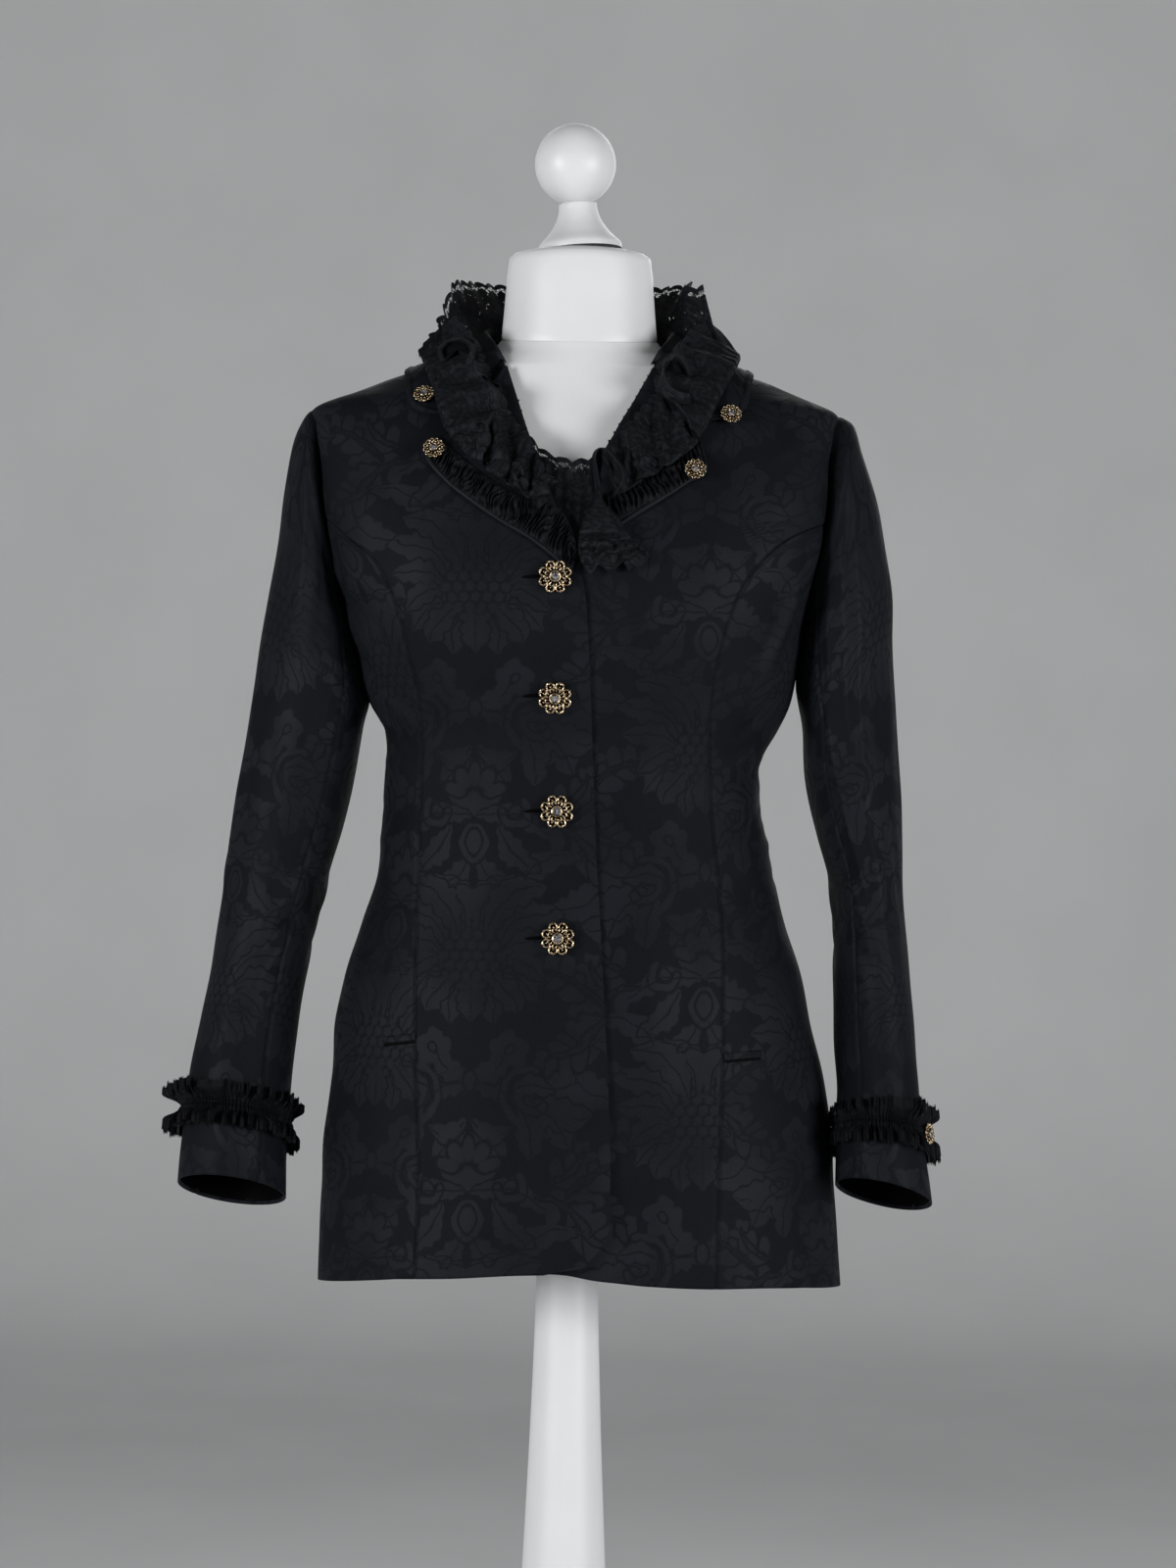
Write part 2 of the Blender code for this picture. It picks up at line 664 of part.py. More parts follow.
def make_front(side_name):
    side = SIDES[side_name]
    column = 1 if side_name == "right" else 2

    def outer(height):
        return shifted(outer_turn(side_name, FRONT, height), height, side * SEAM_GAP / 2)

    def inner(height):
        return turn_at_x(read(FRONT_EDGE, column, height), height, FRONT)

    shares = (0, 0.06, 0.15, 0.33, 0.56, 0.78, 1)
    lift = overlap_lift if side_name == "left" else None
    grid = panel_grid(outer, inner, shares, PANEL_HEIGHTS, lift)
    cloth(f"front_{side_name}", grid, flip=side_name == "left")


def make_back(side_name):
    side = SIDES[side_name]

    def outer(height):
        return shifted(outer_turn(side_name, BACK, height), height, -side * SEAM_GAP / 2)

    def inner(height):
        return shifted(BACK, height, side * SEAM_GAP / 2)

    grid = panel_grid(outer, inner, (0, 0.06, 0.15, 0.33, 0.60, 1), PANEL_HEIGHTS)
    cloth(f"back_{side_name}", grid, flip=side_name == "right")


def armhole_foot(side_name, facing, share):
    """The height where one upright line of a side panel meets the armhole."""
    low, high = ARMHOLE_MIDDLE - ARMHOLE_HALF_HEIGHT, JOINT_HEIGHT
    for _ in range(30):
        middle = (low + high) / 2
        turn = side_panel_turn(side_name, facing, share, middle)
        if abs(bare_point(turn, middle).y) > armhole_depth(middle):
            low = middle
        else:
            high = middle
    return low


def side_panel_turn(side_name, facing, share, height):
    start = princess_turn(side_name, facing, height)
    return start + (side_turn(side_name, facing) - start) * share


def make_side(side_name, facing):
    """A side panel: hem to armhole, between a princess seam and the side seam."""
    forward = 1 if facing == FRONT else -1
    heights = [height for height in PANEL_HEIGHTS if height <= JOINT_HEIGHT]
    grid = []
    for share in (0, 0.33, 0.67, 1):
        top = armhole_foot(side_name, facing, share) - share * SEAM_GAP / 2
        gap = SIDES[side_name] * forward * SEAM_GAP * (share - 0.5)
        line = []
        for height in heights:
            up = (height - HEM_HEIGHT) / (JOINT_HEIGHT - HEM_HEIGHT)
            here = HEM_HEIGHT + (top - HEM_HEIGHT) * up
            turn = side_panel_turn(side_name, facing, share, here)
            line.append(body_point(shifted(turn, here, gap), here))
        grid.append(line)
    name = "side_front" if facing == FRONT else "side_back"
    cloth(f"{name}_{side_name}", grid, flip=(side_name == "right") != (facing == FRONT))


# ---- sleeves -------------------------------------------------------------------------------


def armhole_point(side_name, turn):
    """The armhole's edge, just outside the figure."""
    sine, cosine = math.sin(math.radians(turn)), math.cos(math.radians(turn))
    height = ARMHOLE_MIDDLE + ARMHOLE_HALF_HEIGHT * cosine
    facing_turn = turn_at_y(ARMHOLE_HALF_DEPTH * sine, height, SIDES[side_name])
    point = bare_point(facing_turn, height)
    return point + Vector((SIDES[side_name] * SEAM_GAP, 0, 0))


def ring_point(side_name, place, turn):
    outer_x, outer_z, inner_x, inner_z, middle_y, half_depth, tilt = read_row(
        SLEEVES[side_name], place
    )
    side = SIDES[side_name]
    outer = Vector((side * outer_x, middle_y, outer_z))
    inner = Vector((side * inner_x, middle_y, inner_z))
    lean = math.radians(tilt)
    forward = Vector((0, -math.cos(lean), math.sin(lean))) * half_depth
    angle = math.radians(turn)
    middle = (outer + inner) / 2
    return middle + (outer - inner) / 2 * math.cos(angle) + forward * math.sin(angle)


def sleeve_point(side_name, place, turn, lift=0.0):
    """A point of the sleeve. Place -1 is the armhole, 0 the first ring, 15 the cuff's edge."""

    def bare(where, angle):
        if where >= 0:
            return ring_point(side_name, where, angle)
        start, stop = armhole_point(side_name, angle), ring_point(side_name, 0, angle)
        return start.lerp(stop, where + 1)

    point = bare(place, turn)
    if not lift:
        return point
    along = bare(place + 0.05, turn) - bare(place - 0.05, turn)
    across = bare(place, turn + 2) - bare(place, turn - 2)
    way_out = across.cross(along).normalized() * SIDES[side_name]
    return point + way_out * lift


def make_sleeve(side_name):
    last = len(SLEEVES[side_name]) - 1
    places = [-1, *range(last + 1)]
    seam_turn = math.degrees(SLEEVE_SEAM_GAP / 2 / SLEEVES[side_name][0][5])
    stretches = {
        "upper_sleeve": (BACK_SLEEVE_SEAM, FRONT_SLEEVE_SEAM),
        "under_sleeve": (FRONT_SLEEVE_SEAM, BACK_SLEEVE_SEAM + 360),
    }
    for name, (start, stop) in stretches.items():
        turns = np.linspace(start + seam_turn, stop - seam_turn, 8)
        grid = [[sleeve_point(side_name, place, turn) for turn in turns] for place in places]
        cloth(f"{name}_{side_name}", grid, flip=side_name == "right")


# ---- collar and lapels ---------------------------------------------------------------------


def collar_row(place):
    """Roll and edge of the collar, where place runs from -6 on the right to 6 on the left."""
    side = -1 if place < 0 else 1
    roll_x, roll_y, roll_z, edge_x, edge_y, edge_z = read_row(COLLAR, abs(place))
    return Vector((side * roll_x, roll_y, roll_z)), Vector((side * edge_x, edge_y, edge_z))


def make_collar():
    """The fall: over the roll and down to the outer edge, on back, shoulders and fronts."""
    last = len(COLLAR) - 1
    grid = []
    for place in np.linspace(-last, last, 25):
        roll, edge = collar_row(place)
        line = []
        for share in (0, 0.12, 0.35, 0.65, 1):
            point = roll.lerp(edge, share)
            point.z += COLLAR_BULGE * math.sin(math.pi * min(share * COLLAR_BOW, 1))
            line.append(kept_clear(point, COLLAR_LIFT + WALL))
        grid.append(line)
    cloth("collar", grid, flip=True)


def make_collar_stand():
    """The upright strip between the neck edge of the back and the roll."""
    grid = []
    for place in np.linspace(-STAND_REACH, STAND_REACH, 15):
        roll, _ = collar_row(place)
        inward = Vector((-roll.x, -roll.y, 0)).normalized()
        top = roll + inward * STAND_INSET - Vector((0, 0, STAND_DROP))
        turn = math.degrees(math.atan2(-roll.y, roll.x)) % 360
        foot = bare_point(turn, NECK_EDGE) + Vector((0, 0, SEAM_GAP))
        grid.append([foot, top])
    cloth("collar_stand", grid)


def across_lapel(rows, place, share, lift):
    """A point of something that lies on the front, between its inner and outer line."""
    inner_x, inner_z, outer_x, outer_z = read_row(rows, place)
    x = inner_x + (outer_x - inner_x) * share
    height = inner_z + (outer_z - inner_z) * share
    return front_point(x, height, lift)


def make_lapel(side_name):
    rows = LAPELS[side_name]
    grid = []
    for place in np.linspace(0, len(rows) - 1, 12):
        line = []
        for share in (0, 0.2, 0.5, 0.8, 1):
            lift = LAPEL_LIFT + WALL + ROLL_LIFT * math.sin(math.pi * share) ** 0.5 * (1 - share)
            line.append(across_lapel(rows, place, share, lift))
        grid.append(line)
    cloth(f"lapel_{side_name}", grid, flip=side_name == "right")


def make_band(side_name):
    """The ruched lace along a lapel, in shallow puckers."""
    rows = BANDS[side_name]
    grid = []
    for index, place in enumerate(np.linspace(0, len(rows) - 1, 13)):
        lift = BAND_LIFT + LACE + BAND_PUCKER * (index % 2)
        grid.append([across_lapel(rows, place, share, lift) for share in (0, 0.35, 0.7, 1)])
    cloth(f"ruched_band_{side_name}", grid, "lace", LACE, flip=side_name == "right")


def make_frill(side_name):
    """Gathered lace over collar and lapel. Its flutes grow from the sewn edge to the free one."""
    rows = FRILLS[side_name]
    grid = []
    for share_along in np.linspace(0, 1, 3 * FRILL_FLUTES[side_name] + 1):
        place = share_along * (len(rows) - 1)
        values = read_row(rows, place)
        sewn, free = Vector(values[:3]), Vector(values[3:])
        wave = math.sin(2 * math.pi * FRILL_FLUTES[side_name] * share_along)
        line = []
        for share in (0, 0.5, 1):
            lift = FRILL_LIFT + LACE + FRILL_WAVE * share * (1 + wave)
            line.append(kept_clear(sewn.lerp(free, share), lift))
        grid.append(line)
    cloth(f"lace_frill_{side_name}", grid, "lace", LACE, flip=side_name == "left")


def make_inset():
    """The lace that closes the foot of the neckline, between the two roll lines."""
    grid = []
    for height, right_x, left_x in INSET:
        xs = np.linspace(right_x, left_x, 5)
        grid.append([front_point(x, height, -INSET_SINK) for x in xs])
    cloth("lace_inset", grid, "lace", LACE)


def make_nape_frill():
    """The standing lace behind the neck: up inside the collar, then out over its roll."""
    last = len(NAPE) - 1
    grid = []
    for place in np.linspace(-last, last, 3 * NAPE_FLUTES + 1):
        mirror = Vector((-1 if place < 0 else 1, 1, 1))
        values = read_row(NAPE, abs(place))
        foot, bend, top = (Vector(values[at : at + 3]) * mirror for at in (0, 3, 6))
        away = Vector((top.x, top.y, 0)).normalized()
        wave = NAPE_WAVE * math.sin(2 * math.pi * NAPE_FLUTES * (place + last) / (2 * last))
        grid.append([foot, bend, bend.lerp(top, 0.5) + away * wave / 2, top + away * wave])
    cloth("lace_nape_frill", grid, "lace", LACE)


# ---- trims on sleeves and panels -----------------------------------------------------------


def make_cuff_frill(side_name, name):
    """One of the two gathered lace rings, sewn together round the sleeve."""
    ring_reach, flare = CUFF_FRILLS[name]
    sign = -1 if name == "upper" else 1
    steps = 3 * CUFF_FLUTES
    grid = []
    for share in (0, 1):
        ring = []
        for step in range(steps):
            turn = 360 * step / steps
            wave = math.sin(math.radians(turn) * CUFF_FLUTES)
            free = CUFF_SPARE + (1 - CUFF_SPARE) * ease(math.cos(math.radians(turn)), *CUFF_SIDE)
            lift = CUFF_LIFT + LACE + share * free * (flare + CUFF_WAVE * wave)
            place = CUFF_GATHER + sign * CUFF_SPLIT + ring_reach * share
            ring.append(sleeve_point(side_name, place, turn, lift))
        grid.append(ring)
    flip = (side_name == "left") == (name == "upper")
    cloth(f"cuff_frill_{name}_{side_name}", grid, "lace", LACE, around=True, flip=flip)


def make_pocket(side_name):
    front_x, front_z, side_x, side_z = POCKETS[side_name]
    grid = []
    for share_up in (0, 0.5, 1):
        line = []
        for share in np.linspace(0, 1, 4):
            x = front_x + (side_x - front_x) * share
            height = front_z + (side_z - front_z) * share + POCKET_HEIGHT * (share_up - 0.5)
            line.append(front_point(x, height, POCKET_LIFT + WALL))
        grid.append(line)
    cloth(f"pocket_welt_{side_name}", grid, flip=side_name == "right")


def button_rings(profile, radius, steps, lobes):
    rings = []
    for share, height, lobe in profile:
        ring = []
        for step in range(steps):
            angle = 2 * math.pi * step / steps
            reach_here = radius * share * (1 + lobe * math.cos(lobes * angle))
            x, y = reach_here * math.cos(angle), reach_here * math.sin(angle)
            ring.append(Vector((x, y, height * radius)))
        rings.append(ring)
    return rings


def make_button(name, point, facing, radius):
    """A lobed button on its shank with a round stone, standing along facing."""
    up_hint = Vector((0, 0, 1))
    side_axis = up_hint.cross(facing).normalized()
    up_axis = facing.cross(side_axis)
    frame = Matrix((side_axis, up_axis, facing)).transposed().to_4x4()
    frame.translation = point
    rosette = closed_loft(
        f"button_{name}", button_rings(BUTTON_PROFILE, radius, 16, BUTTON_LOBES), "gold_metal", 30
    )
    rosette.matrix_world = frame
    seat = BUTTON_PROFILE[-1][1] * radius + SEAT_GAP
    stone_rings = button_rings([(*row, 0.0) for row in STONE_PROFILE], radius, 8, 1)
    stone = closed_loft(f"stone_{name}", stone_rings, "clear_stone", 30)
    stone.matrix_world = frame @ Matrix.Translation((0, 0, seat))


def make_buttons():
    for number, (x, height) in enumerate(FRONT_BUTTONS, start=1):
        turn = turn_at_x(x, height, FRONT)
        point = body_point(turn, height, SEAT_GAP)
        make_button(f"front_{number}", point, outward(turn, height), BIG_BUTTON)
    for name, (x, height, lift) in COLLAR_BUTTONS.items():
        turn = turn_at_x(x, height, FRONT)
        make_button(name, body_point(turn, height, lift), outward(turn, height), SMALL_BUTTON)
    for side_name, (turn, place, lift) in CUFF_BUTTONS.items():
        point = sleeve_point(side_name, place, turn, lift)
        facing = (point - sleeve_point(side_name, place, turn)).normalized()
        make_button(f"cuff_{side_name}", point, facing, SMALL_BUTTON)


# ---- dress form and stand ------------------------------------------------------------------


def neck_ring(height, half_width, front, back, tilt, turns):
    ring = []
    for turn in turns:
        cosine, sine = math.cos(math.radians(turn)), math.sin(math.radians(turn))
        y = -(front if sine >= 0 else back) * sine
        ring.append(Vector((half_width * cosine, y, height + tilt * y)))
    return ring


def make_torso():
    turns = [*FORM_TURNS, *(turn + 180 for turn in FORM_TURNS)]
    rings = []
    for height in FORM_HEIGHTS:
        inset = read(FORM_INSET, 1, height)
        if height < FORM_FOOT + FORM_FOOT_EDGE:
            inset += FORM_FOOT_ROUNDING
        ring = []
        for turn in turns:
            point = body_point(turn, height, -inset)
            if height < HEM_RISE_TOP:
                point.z = height
            ring.append(point)
        rings.append(ring)
    for height, half_width, front, back in NECK:
        tilt = NECK_TILT * ease(height, NECK_FOOT, NECK_SEAM)
        rings.append(neck_ring(height, half_width, front, back, tilt, turns))
    closed_loft("form_torso", [list(reversed(ring)) for ring in rings], "white_shell")


def make_neck_cap():
    turns = np.arange(0, 360, 15)
    rings = []
    for height, half_width, half_depth in CAP:
        tilt = NECK_TILT * (1 - ease(height, NECK_SEAM, CAP[-2][0]))
        front, back = half_depth - NECK_MIDDLE, half_depth + NECK_MIDDLE
        ring = neck_ring(height, half_width, front, back, tilt, turns)
        rings.append(list(reversed(ring)))
    closed_loft("form_neck_cap", rings, "white_shell")


def make_finial():
    """A ball on a flared neck, leaning a little to the right on the neck cap."""
    start = math.degrees(math.acos((BALL_MIDDLE - FINIAL[-1][1]) / BALL_RADIUS))
    ball = []
    for angle in np.linspace(start, 172, 10):
        radius = BALL_RADIUS * math.sin(math.radians(angle))
        ball.append((radius, BALL_MIDDLE - BALL_RADIUS * math.cos(math.radians(angle))))
    piece = turned("form_finial", (*FINIAL, *ball), "white_shell", 16)
    lift = FINIAL[0][0] * math.sin(FINIAL_LEAN) + SEAT_GAP
    piece.location = (0, NECK_MIDDLE, CAP[-1][0] + lift)
    piece.rotation_euler = (0, -FINIAL_LEAN, 0)


def make_stand():
    turned("stand_column", COLUMN, "white_shell", 24)
    bpy.ops.mesh.primitive_cylinder_add(
        vertices=40, radius=PLATE_RADIUS, depth=PLATE_HEIGHT, location=(0, 0, PLATE_HEIGHT / 2)
    )
    plate = bpy.context.active_object
    plate.name = "stand_plate"
    plate.data.materials.append(material("white_shell"))
    for collection in list(plate.users_collection):
        collection.objects.unlink(plate)
    PARTS.objects.link(plate)
    edge = plate.modifiers.new("edge", "BEVEL")
    edge.width = PLATE_EDGE
    edge.segments = 2
    edge.limit_method = "ANGLE"


# ---- build ---------------------------------------------------------------------------------


def build():
    for old in list(bpy.data.objects):
        bpy.data.objects.remove(old)
    bpy.context.scene.collection.children.link(PARTS)
    make_stand()
    make_torso()
    make_neck_cap()
    make_finial()
    for side_name in SIDES:
        make_front(side_name)
        make_back(side_name)
        make_side(side_name, FRONT)
        make_side(side_name, BACK)
        make_sleeve(side_name)
        make_lapel(side_name)
        make_band(side_name)
        make_frill(side_name)
        make_pocket(side_name)
        make_cuff_frill(side_name, "upper")
        make_cuff_frill(side_name, "lower")
    make_collar()
    make_collar_stand()
    make_nape_frill()
    make_inset()
    make_buttons()


build()
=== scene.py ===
"""A fitted lady's blazer in damask with lace trims, on a limbless dress form with a round stand.

Every cloth piece is a sheet through points worked out from the figure's sizes and from
short tables, in the same frame as the solids: metres, +Z up, the front facing -Y.
"""

import math

import bpy
import numpy as np
from mathutils import Matrix, Vector
from mathutils.bvhtree import BVHTree


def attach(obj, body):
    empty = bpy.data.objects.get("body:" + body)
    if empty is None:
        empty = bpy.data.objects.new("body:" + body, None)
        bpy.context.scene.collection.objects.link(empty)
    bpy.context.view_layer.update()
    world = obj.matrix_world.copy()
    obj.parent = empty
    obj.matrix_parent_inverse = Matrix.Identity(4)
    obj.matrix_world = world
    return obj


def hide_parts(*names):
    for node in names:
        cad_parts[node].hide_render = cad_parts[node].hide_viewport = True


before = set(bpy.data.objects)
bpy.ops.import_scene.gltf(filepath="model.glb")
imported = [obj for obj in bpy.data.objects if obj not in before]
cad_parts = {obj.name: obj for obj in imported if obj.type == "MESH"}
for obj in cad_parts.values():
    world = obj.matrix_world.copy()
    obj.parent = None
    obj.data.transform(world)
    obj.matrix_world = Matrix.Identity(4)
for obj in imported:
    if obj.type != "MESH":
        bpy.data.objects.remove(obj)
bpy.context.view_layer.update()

# ---- sizes ---------------------------------------------------------------------------------

HEM_HEIGHT = 0.69  # at the side seams
HEM_RISE = 0.028  # how much higher the hem is at the centre front
HEM_RISE_TOP = 0.86  # the rise fades out below this height
NECK_EDGE = 1.434  # where the panels end, under the collar
ARMHOLE_MIDDLE = 1.312
ARMHOLE_HALF_HEIGHT = 0.074
ARMHOLE_HALF_DEPTH = 0.052
ARMHOLE_TOP = ARMHOLE_MIDDLE + ARMHOLE_HALF_HEIGHT
JOINT_HEIGHT = 1.295  # where the princess seams run into the armhole
SIDES = {"right": -1, "left": 1}
FRONT, BACK = 90.0, 270.0  # turns about the figure, from +X through the front
STEPS = {FRONT: 0.0026, BACK: 0.0034}  # spacing of the points on plain cloth

# height, reach to the right, to the left, to the front, to the back, squareness of the section
BODY = (
    (0.69, 0.1995, 0.217, 0.142, 0.15, 2.2),
    (0.76, 0.1977, 0.2115, 0.138, 0.15, 2.2),
    (0.8, 0.1966, 0.2095, 0.136, 0.147, 2.2),
    (0.857, 0.1903, 0.2022, 0.132, 0.14, 2.2),
    (0.896, 0.1885, 0.1922, 0.128, 0.132, 2.2),
    (0.935, 0.1803, 0.1847, 0.124, 0.124, 2.2),
    (0.974, 0.1682, 0.1717, 0.119, 0.114, 2.25),
    (1.013, 0.1562, 0.1617, 0.112, 0.105, 2.3),
    (1.053, 0.1528, 0.1534, 0.107, 0.099, 2.3),
    (1.092, 0.151, 0.1481, 0.1045, 0.096, 2.3),
    (1.112, 0.15, 0.1518, 0.105, 0.096, 2.35),
    (1.131, 0.1525, 0.162, 0.107, 0.098, 2.4),
    (1.151, 0.1635, 0.1715, 0.112, 0.101, 2.5),
    (1.175, 0.1715, 0.1765, 0.119, 0.105, 2.6),
    (1.205, 0.179, 0.179, 0.1255, 0.11, 2.7),
    (1.24, 0.1885, 0.187, 0.127, 0.114, 3.0),
    (1.29, 0.201, 0.199, 0.115, 0.115, 3.4),
    (1.34, 0.2075, 0.2035, 0.096, 0.108, 3.6),
    (1.37, 0.2105, 0.2055, 0.082, 0.097, 3.4),
    (1.386, 0.2095, 0.205, 0.073, 0.088, 3.0),
    (1.398, 0.179, 0.178, 0.067, 0.082, 2.6),
    (1.408, 0.154, 0.155, 0.063, 0.077, 2.4),
    (1.42, 0.118, 0.119, 0.059, 0.072, 2.3),
    (1.429, 0.088, 0.088, 0.056, 0.07, 2.2),
    (1.434, 0.078, 0.078, 0.055, 0.069, 2.2),
)

# height, x of the princess seam on the right front, on the left front, on both back halves
PRINCESS = (
    (0.69, 0.1165, 0.1145, 0.104),
    (0.785, 0.115, 0.116, 0.103),
    (0.888, 0.1195, 0.1183, 0.098),
    (0.986, 0.1202, 0.1165, 0.087),
    (1.065, 0.1197, 0.1089, 0.079),
    (1.111, 0.1185, 0.106, 0.078),
    (1.151, 0.12, 0.1062, 0.082),
    (1.181, 0.1272, 0.1098, 0.088),
    (1.214, 0.1358, 0.1185, 0.099),
    (1.241, 0.1454, 0.129, 0.113),
    (1.262, 0.159, 0.144, 0.131),
    (1.278, 0.178, 0.162, 0.155),
)

# height, x of the overlapping right front's edge, x of the left front's edge under it
FRONT_EDGE = (
    (0.69, -0.018, -0.03),
    (0.6965, 0.008, -0.027),
    (0.705, 0.0175, -0.024),
    (0.714, 0.0245, -0.022),
    (0.73, 0.0315, -0.022),
    (0.765, 0.0322, -0.022),
    (0.968, 0.0231, -0.022),
    (1.035, 0.0186, -0.022),
    (1.163, 0.0124, -0.022),
    (1.211, 0.0095, -0.021),
    (1.237, 0.0069, -0.014),
    (1.252, 0.003, 0.002),
    (1.272, -0.006, 0.01),
    (1.3, -0.0165, 0.013),
    (1.335, -0.031, 0.016),
    (1.372, -0.045, 0.0355),
    (1.41, -0.055, 0.0565),
    (1.434, -0.066, 0.066),
)
# How much lower the front hem hangs: x, drop
HEM_DROP = (
    (-0.13, 0.0),
    (-0.085, 0.0026),
    (-0.035, 0.0034),
    (0.0, 0.0045),
    (0.02, 0.008),
    (0.07, 0.009),
    (0.105, 0.0068),
    (0.15, 0.0022),
    (0.185, 0.0),
)
HEM_DROP_TOP = 0.83  # the drop fades out below this height
OVERLAP_SINK = 0.0029  # how deep the left front lies behind the right one
CORNER_SINK = 0.005  # more of it behind the rounded corner
CORNER_TOP = 0.9
OVERLAP_START = 0.008  # beyond the right front's edge it starts to come up
OVERLAP_EASE = 0.03

# Sleeve rings, from the cap to the cuff: outer point x and z, inner point x and z,
# y of the middle, half depth, forward tilt in degrees
SLEEVES = {
    "right": (
        (0.2195, 1.378, 0.1835, 1.227, 0.0, 0.06, 0),
        (0.228, 1.358, 0.181, 1.215, 0.0, 0.061, 0),
        (0.2335, 1.32, 0.1755, 1.202, 0.0, 0.062, 0),
        (0.2375, 1.28, 0.1718, 1.186, 0.0, 0.0625, 0),
        (0.245, 1.235, 0.1668, 1.169, 0.001, 0.0625, 0),
        (0.252, 1.195, 0.1635, 1.152, 0.002, 0.062, 0),
        (0.257, 1.155, 0.168, 1.132, 0.003, 0.061, 0),
        (0.265, 1.105, 0.1745, 1.094, 0.004, 0.059, 0),
        (0.272, 1.06, 0.185, 1.048, 0.004, 0.057, 2),
        (0.2775, 1.018, 0.1975, 1.008, 0.003, 0.055, 4),
        (0.283, 0.975, 0.2065, 0.964, 0.0, 0.053, 7),
        (0.2885, 0.9365, 0.214, 0.926, -0.006, 0.0515, 10),
        (0.2955, 0.898, 0.219, 0.888, -0.014, 0.0505, 12),
        (0.302, 0.86, 0.222, 0.85, -0.023, 0.05, 14),
        (0.305, 0.8175, 0.223, 0.8075, -0.033, 0.0495, 17),
        (0.3075, 0.769, 0.2228, 0.76, -0.045, 0.049, 20),
    ),
    "left": (
        (0.2205, 1.378, 0.1821, 1.227, 0.0, 0.06, 0),
        (0.228, 1.355, 0.1803, 1.215, 0.0, 0.062, 0),
        (0.239, 1.318, 0.1785, 1.202, 0.0, 0.064, 0),
        (0.246, 1.28, 0.1768, 1.186, 0.0, 0.065, 0),
        (0.252, 1.243, 0.1762, 1.169, 0.001, 0.0655, 0),
        (0.2525, 1.203, 0.1788, 1.152, 0.002, 0.066, 0),
        (0.255, 1.158, 0.1822, 1.132, 0.003, 0.0655, 0),
        (0.2595, 1.105, 0.185, 1.094, 0.004, 0.064, 0),
        (0.2625, 1.058, 0.196, 1.048, 0.004, 0.062, 2),
        (0.2645, 1.015, 0.208, 1.008, 0.003, 0.06, 4),
        (0.2675, 0.975, 0.21, 0.964, 0.0, 0.0585, 7),
        (0.2715, 0.9365, 0.211, 0.926, -0.006, 0.057, 10),
        (0.275, 0.898, 0.2115, 0.888, -0.014, 0.056, 12),
        (0.277, 0.86, 0.2135, 0.851, -0.024, 0.0545, 14),
        (0.28, 0.814, 0.211, 0.819, -0.035, 0.053, 15),
        (0.2862, 0.7595, 0.2105, 0.7765, -0.048, 0.052, 17),
    ),
}

# Collar, from the centre back to its front end: roll x, y, z, then the outer edge x, y, z
COLLAR = (
    (0.0, 0.0765, 1.462, 0.0, 0.085, 1.402),
    (0.044, 0.068, 1.461, 0.062, 0.08, 1.399),
    (0.071, 0.037, 1.457, 0.112, 0.056, 1.399),
    (0.077, 0.002, 1.45, 0.133, 0.005, 1.417),
    (0.073, -0.029, 1.441, 0.133, -0.042, 1.398),
    (0.066, -0.045, 1.431, 0.126, -0.068, 1.376),
    (0.059, -0.052, 1.419, 0.095, -0.077, 1.3685),
)

# Lapels, from the break to the gorge: roll x and z, outer edge x and z
LAPELS = {
    "right": (
        (-0.001, 1.257, -0.003, 1.248),
        (-0.01, 1.285, -0.0325, 1.2716),
        (-0.0235, 1.32, -0.0667, 1.2925),
        (-0.037, 1.355, -0.1014, 1.3187),
        (-0.047, 1.385, -0.1174, 1.3426),
        (-0.056, 1.414, -0.0925, 1.3625),
    ),
    "left": (
        (0.014, 1.276, 0.017, 1.2735),
        (0.0165, 1.298, 0.0385, 1.288),
        (0.017, 1.327, 0.063, 1.304),
        (0.028, 1.357, 0.085, 1.319),
        (0.044, 1.386, 0.1005, 1.3304),
        (0.0582, 1.414, 0.0925, 1.3625),
    ),
}

# Lace across the foot of the neckline: height, x of its right side, x of its left side
INSET = (
    (1.27, -0.009, 0.011),
    (1.29, -0.016, 0.0175),
    (1.31, -0.0235, 0.0245),
    (1.33, -0.032, 0.03),
    (1.345, -0.038, 0.03),
)

# Sleeve ring at which the cuff frills are gathered
CUFF_GATHER = {"right": 13.78, "left": 13.98}
# x and height of the large buttons
FRONT_BUTTONS = ((-0.0154, 1.2452), (-0.0145, 1.1548), (-0.0119, 1.0662), (-0.0099, 0.9689))
# x, height and lift of the four small ones on collar and lapels
COLLAR_BUTTONS = {
    "collar_right": (-0.1195, 1.3862, 0.0042),
    "lapel_right": (-0.1098, 1.342, 0.0066),
    "collar_left": (0.1185, 1.3735, 0.004),
    "lapel_left": (0.0905, 1.3275, 0.0072),
}
# turn, sleeve ring and lift of the cuff buttons
CUFF_BUTTONS = {"right": (-48.0, 14.2, 0.011), "left": (27.0, 14.08, 0.004)}
# x and height of each end of the pocket slits
POCKETS = {"right": (-0.119, 0.8878, -0.1446, 0.8837), "left": (0.1188, 0.8757, 0.1488, 0.8773)}
SEAT_GAP = 0.0003  # between pieces that rest on each other

# How far inside the cloth the form lies: height, inset
FORM_INSET = (
    (0.8, 0.014),
    (0.9, 0.011),
    (1.0, 0.009),
    (1.09, 0.0085),
    (1.15, 0.01),
    (1.22, 0.012),
    (1.29, 0.015),
    (1.35, 0.011),
    (1.386, 0.0061),
    (1.408, 0.0043),
    (1.429, 0.0036),
)
FORM_FOOT = 0.8
NECK_FOOT = 1.424
NECK_SEAM = 1.443
NECK_TILT = 0.15  # rise of the neck's rings towards the back
NECK_MIDDLE = 0.0045
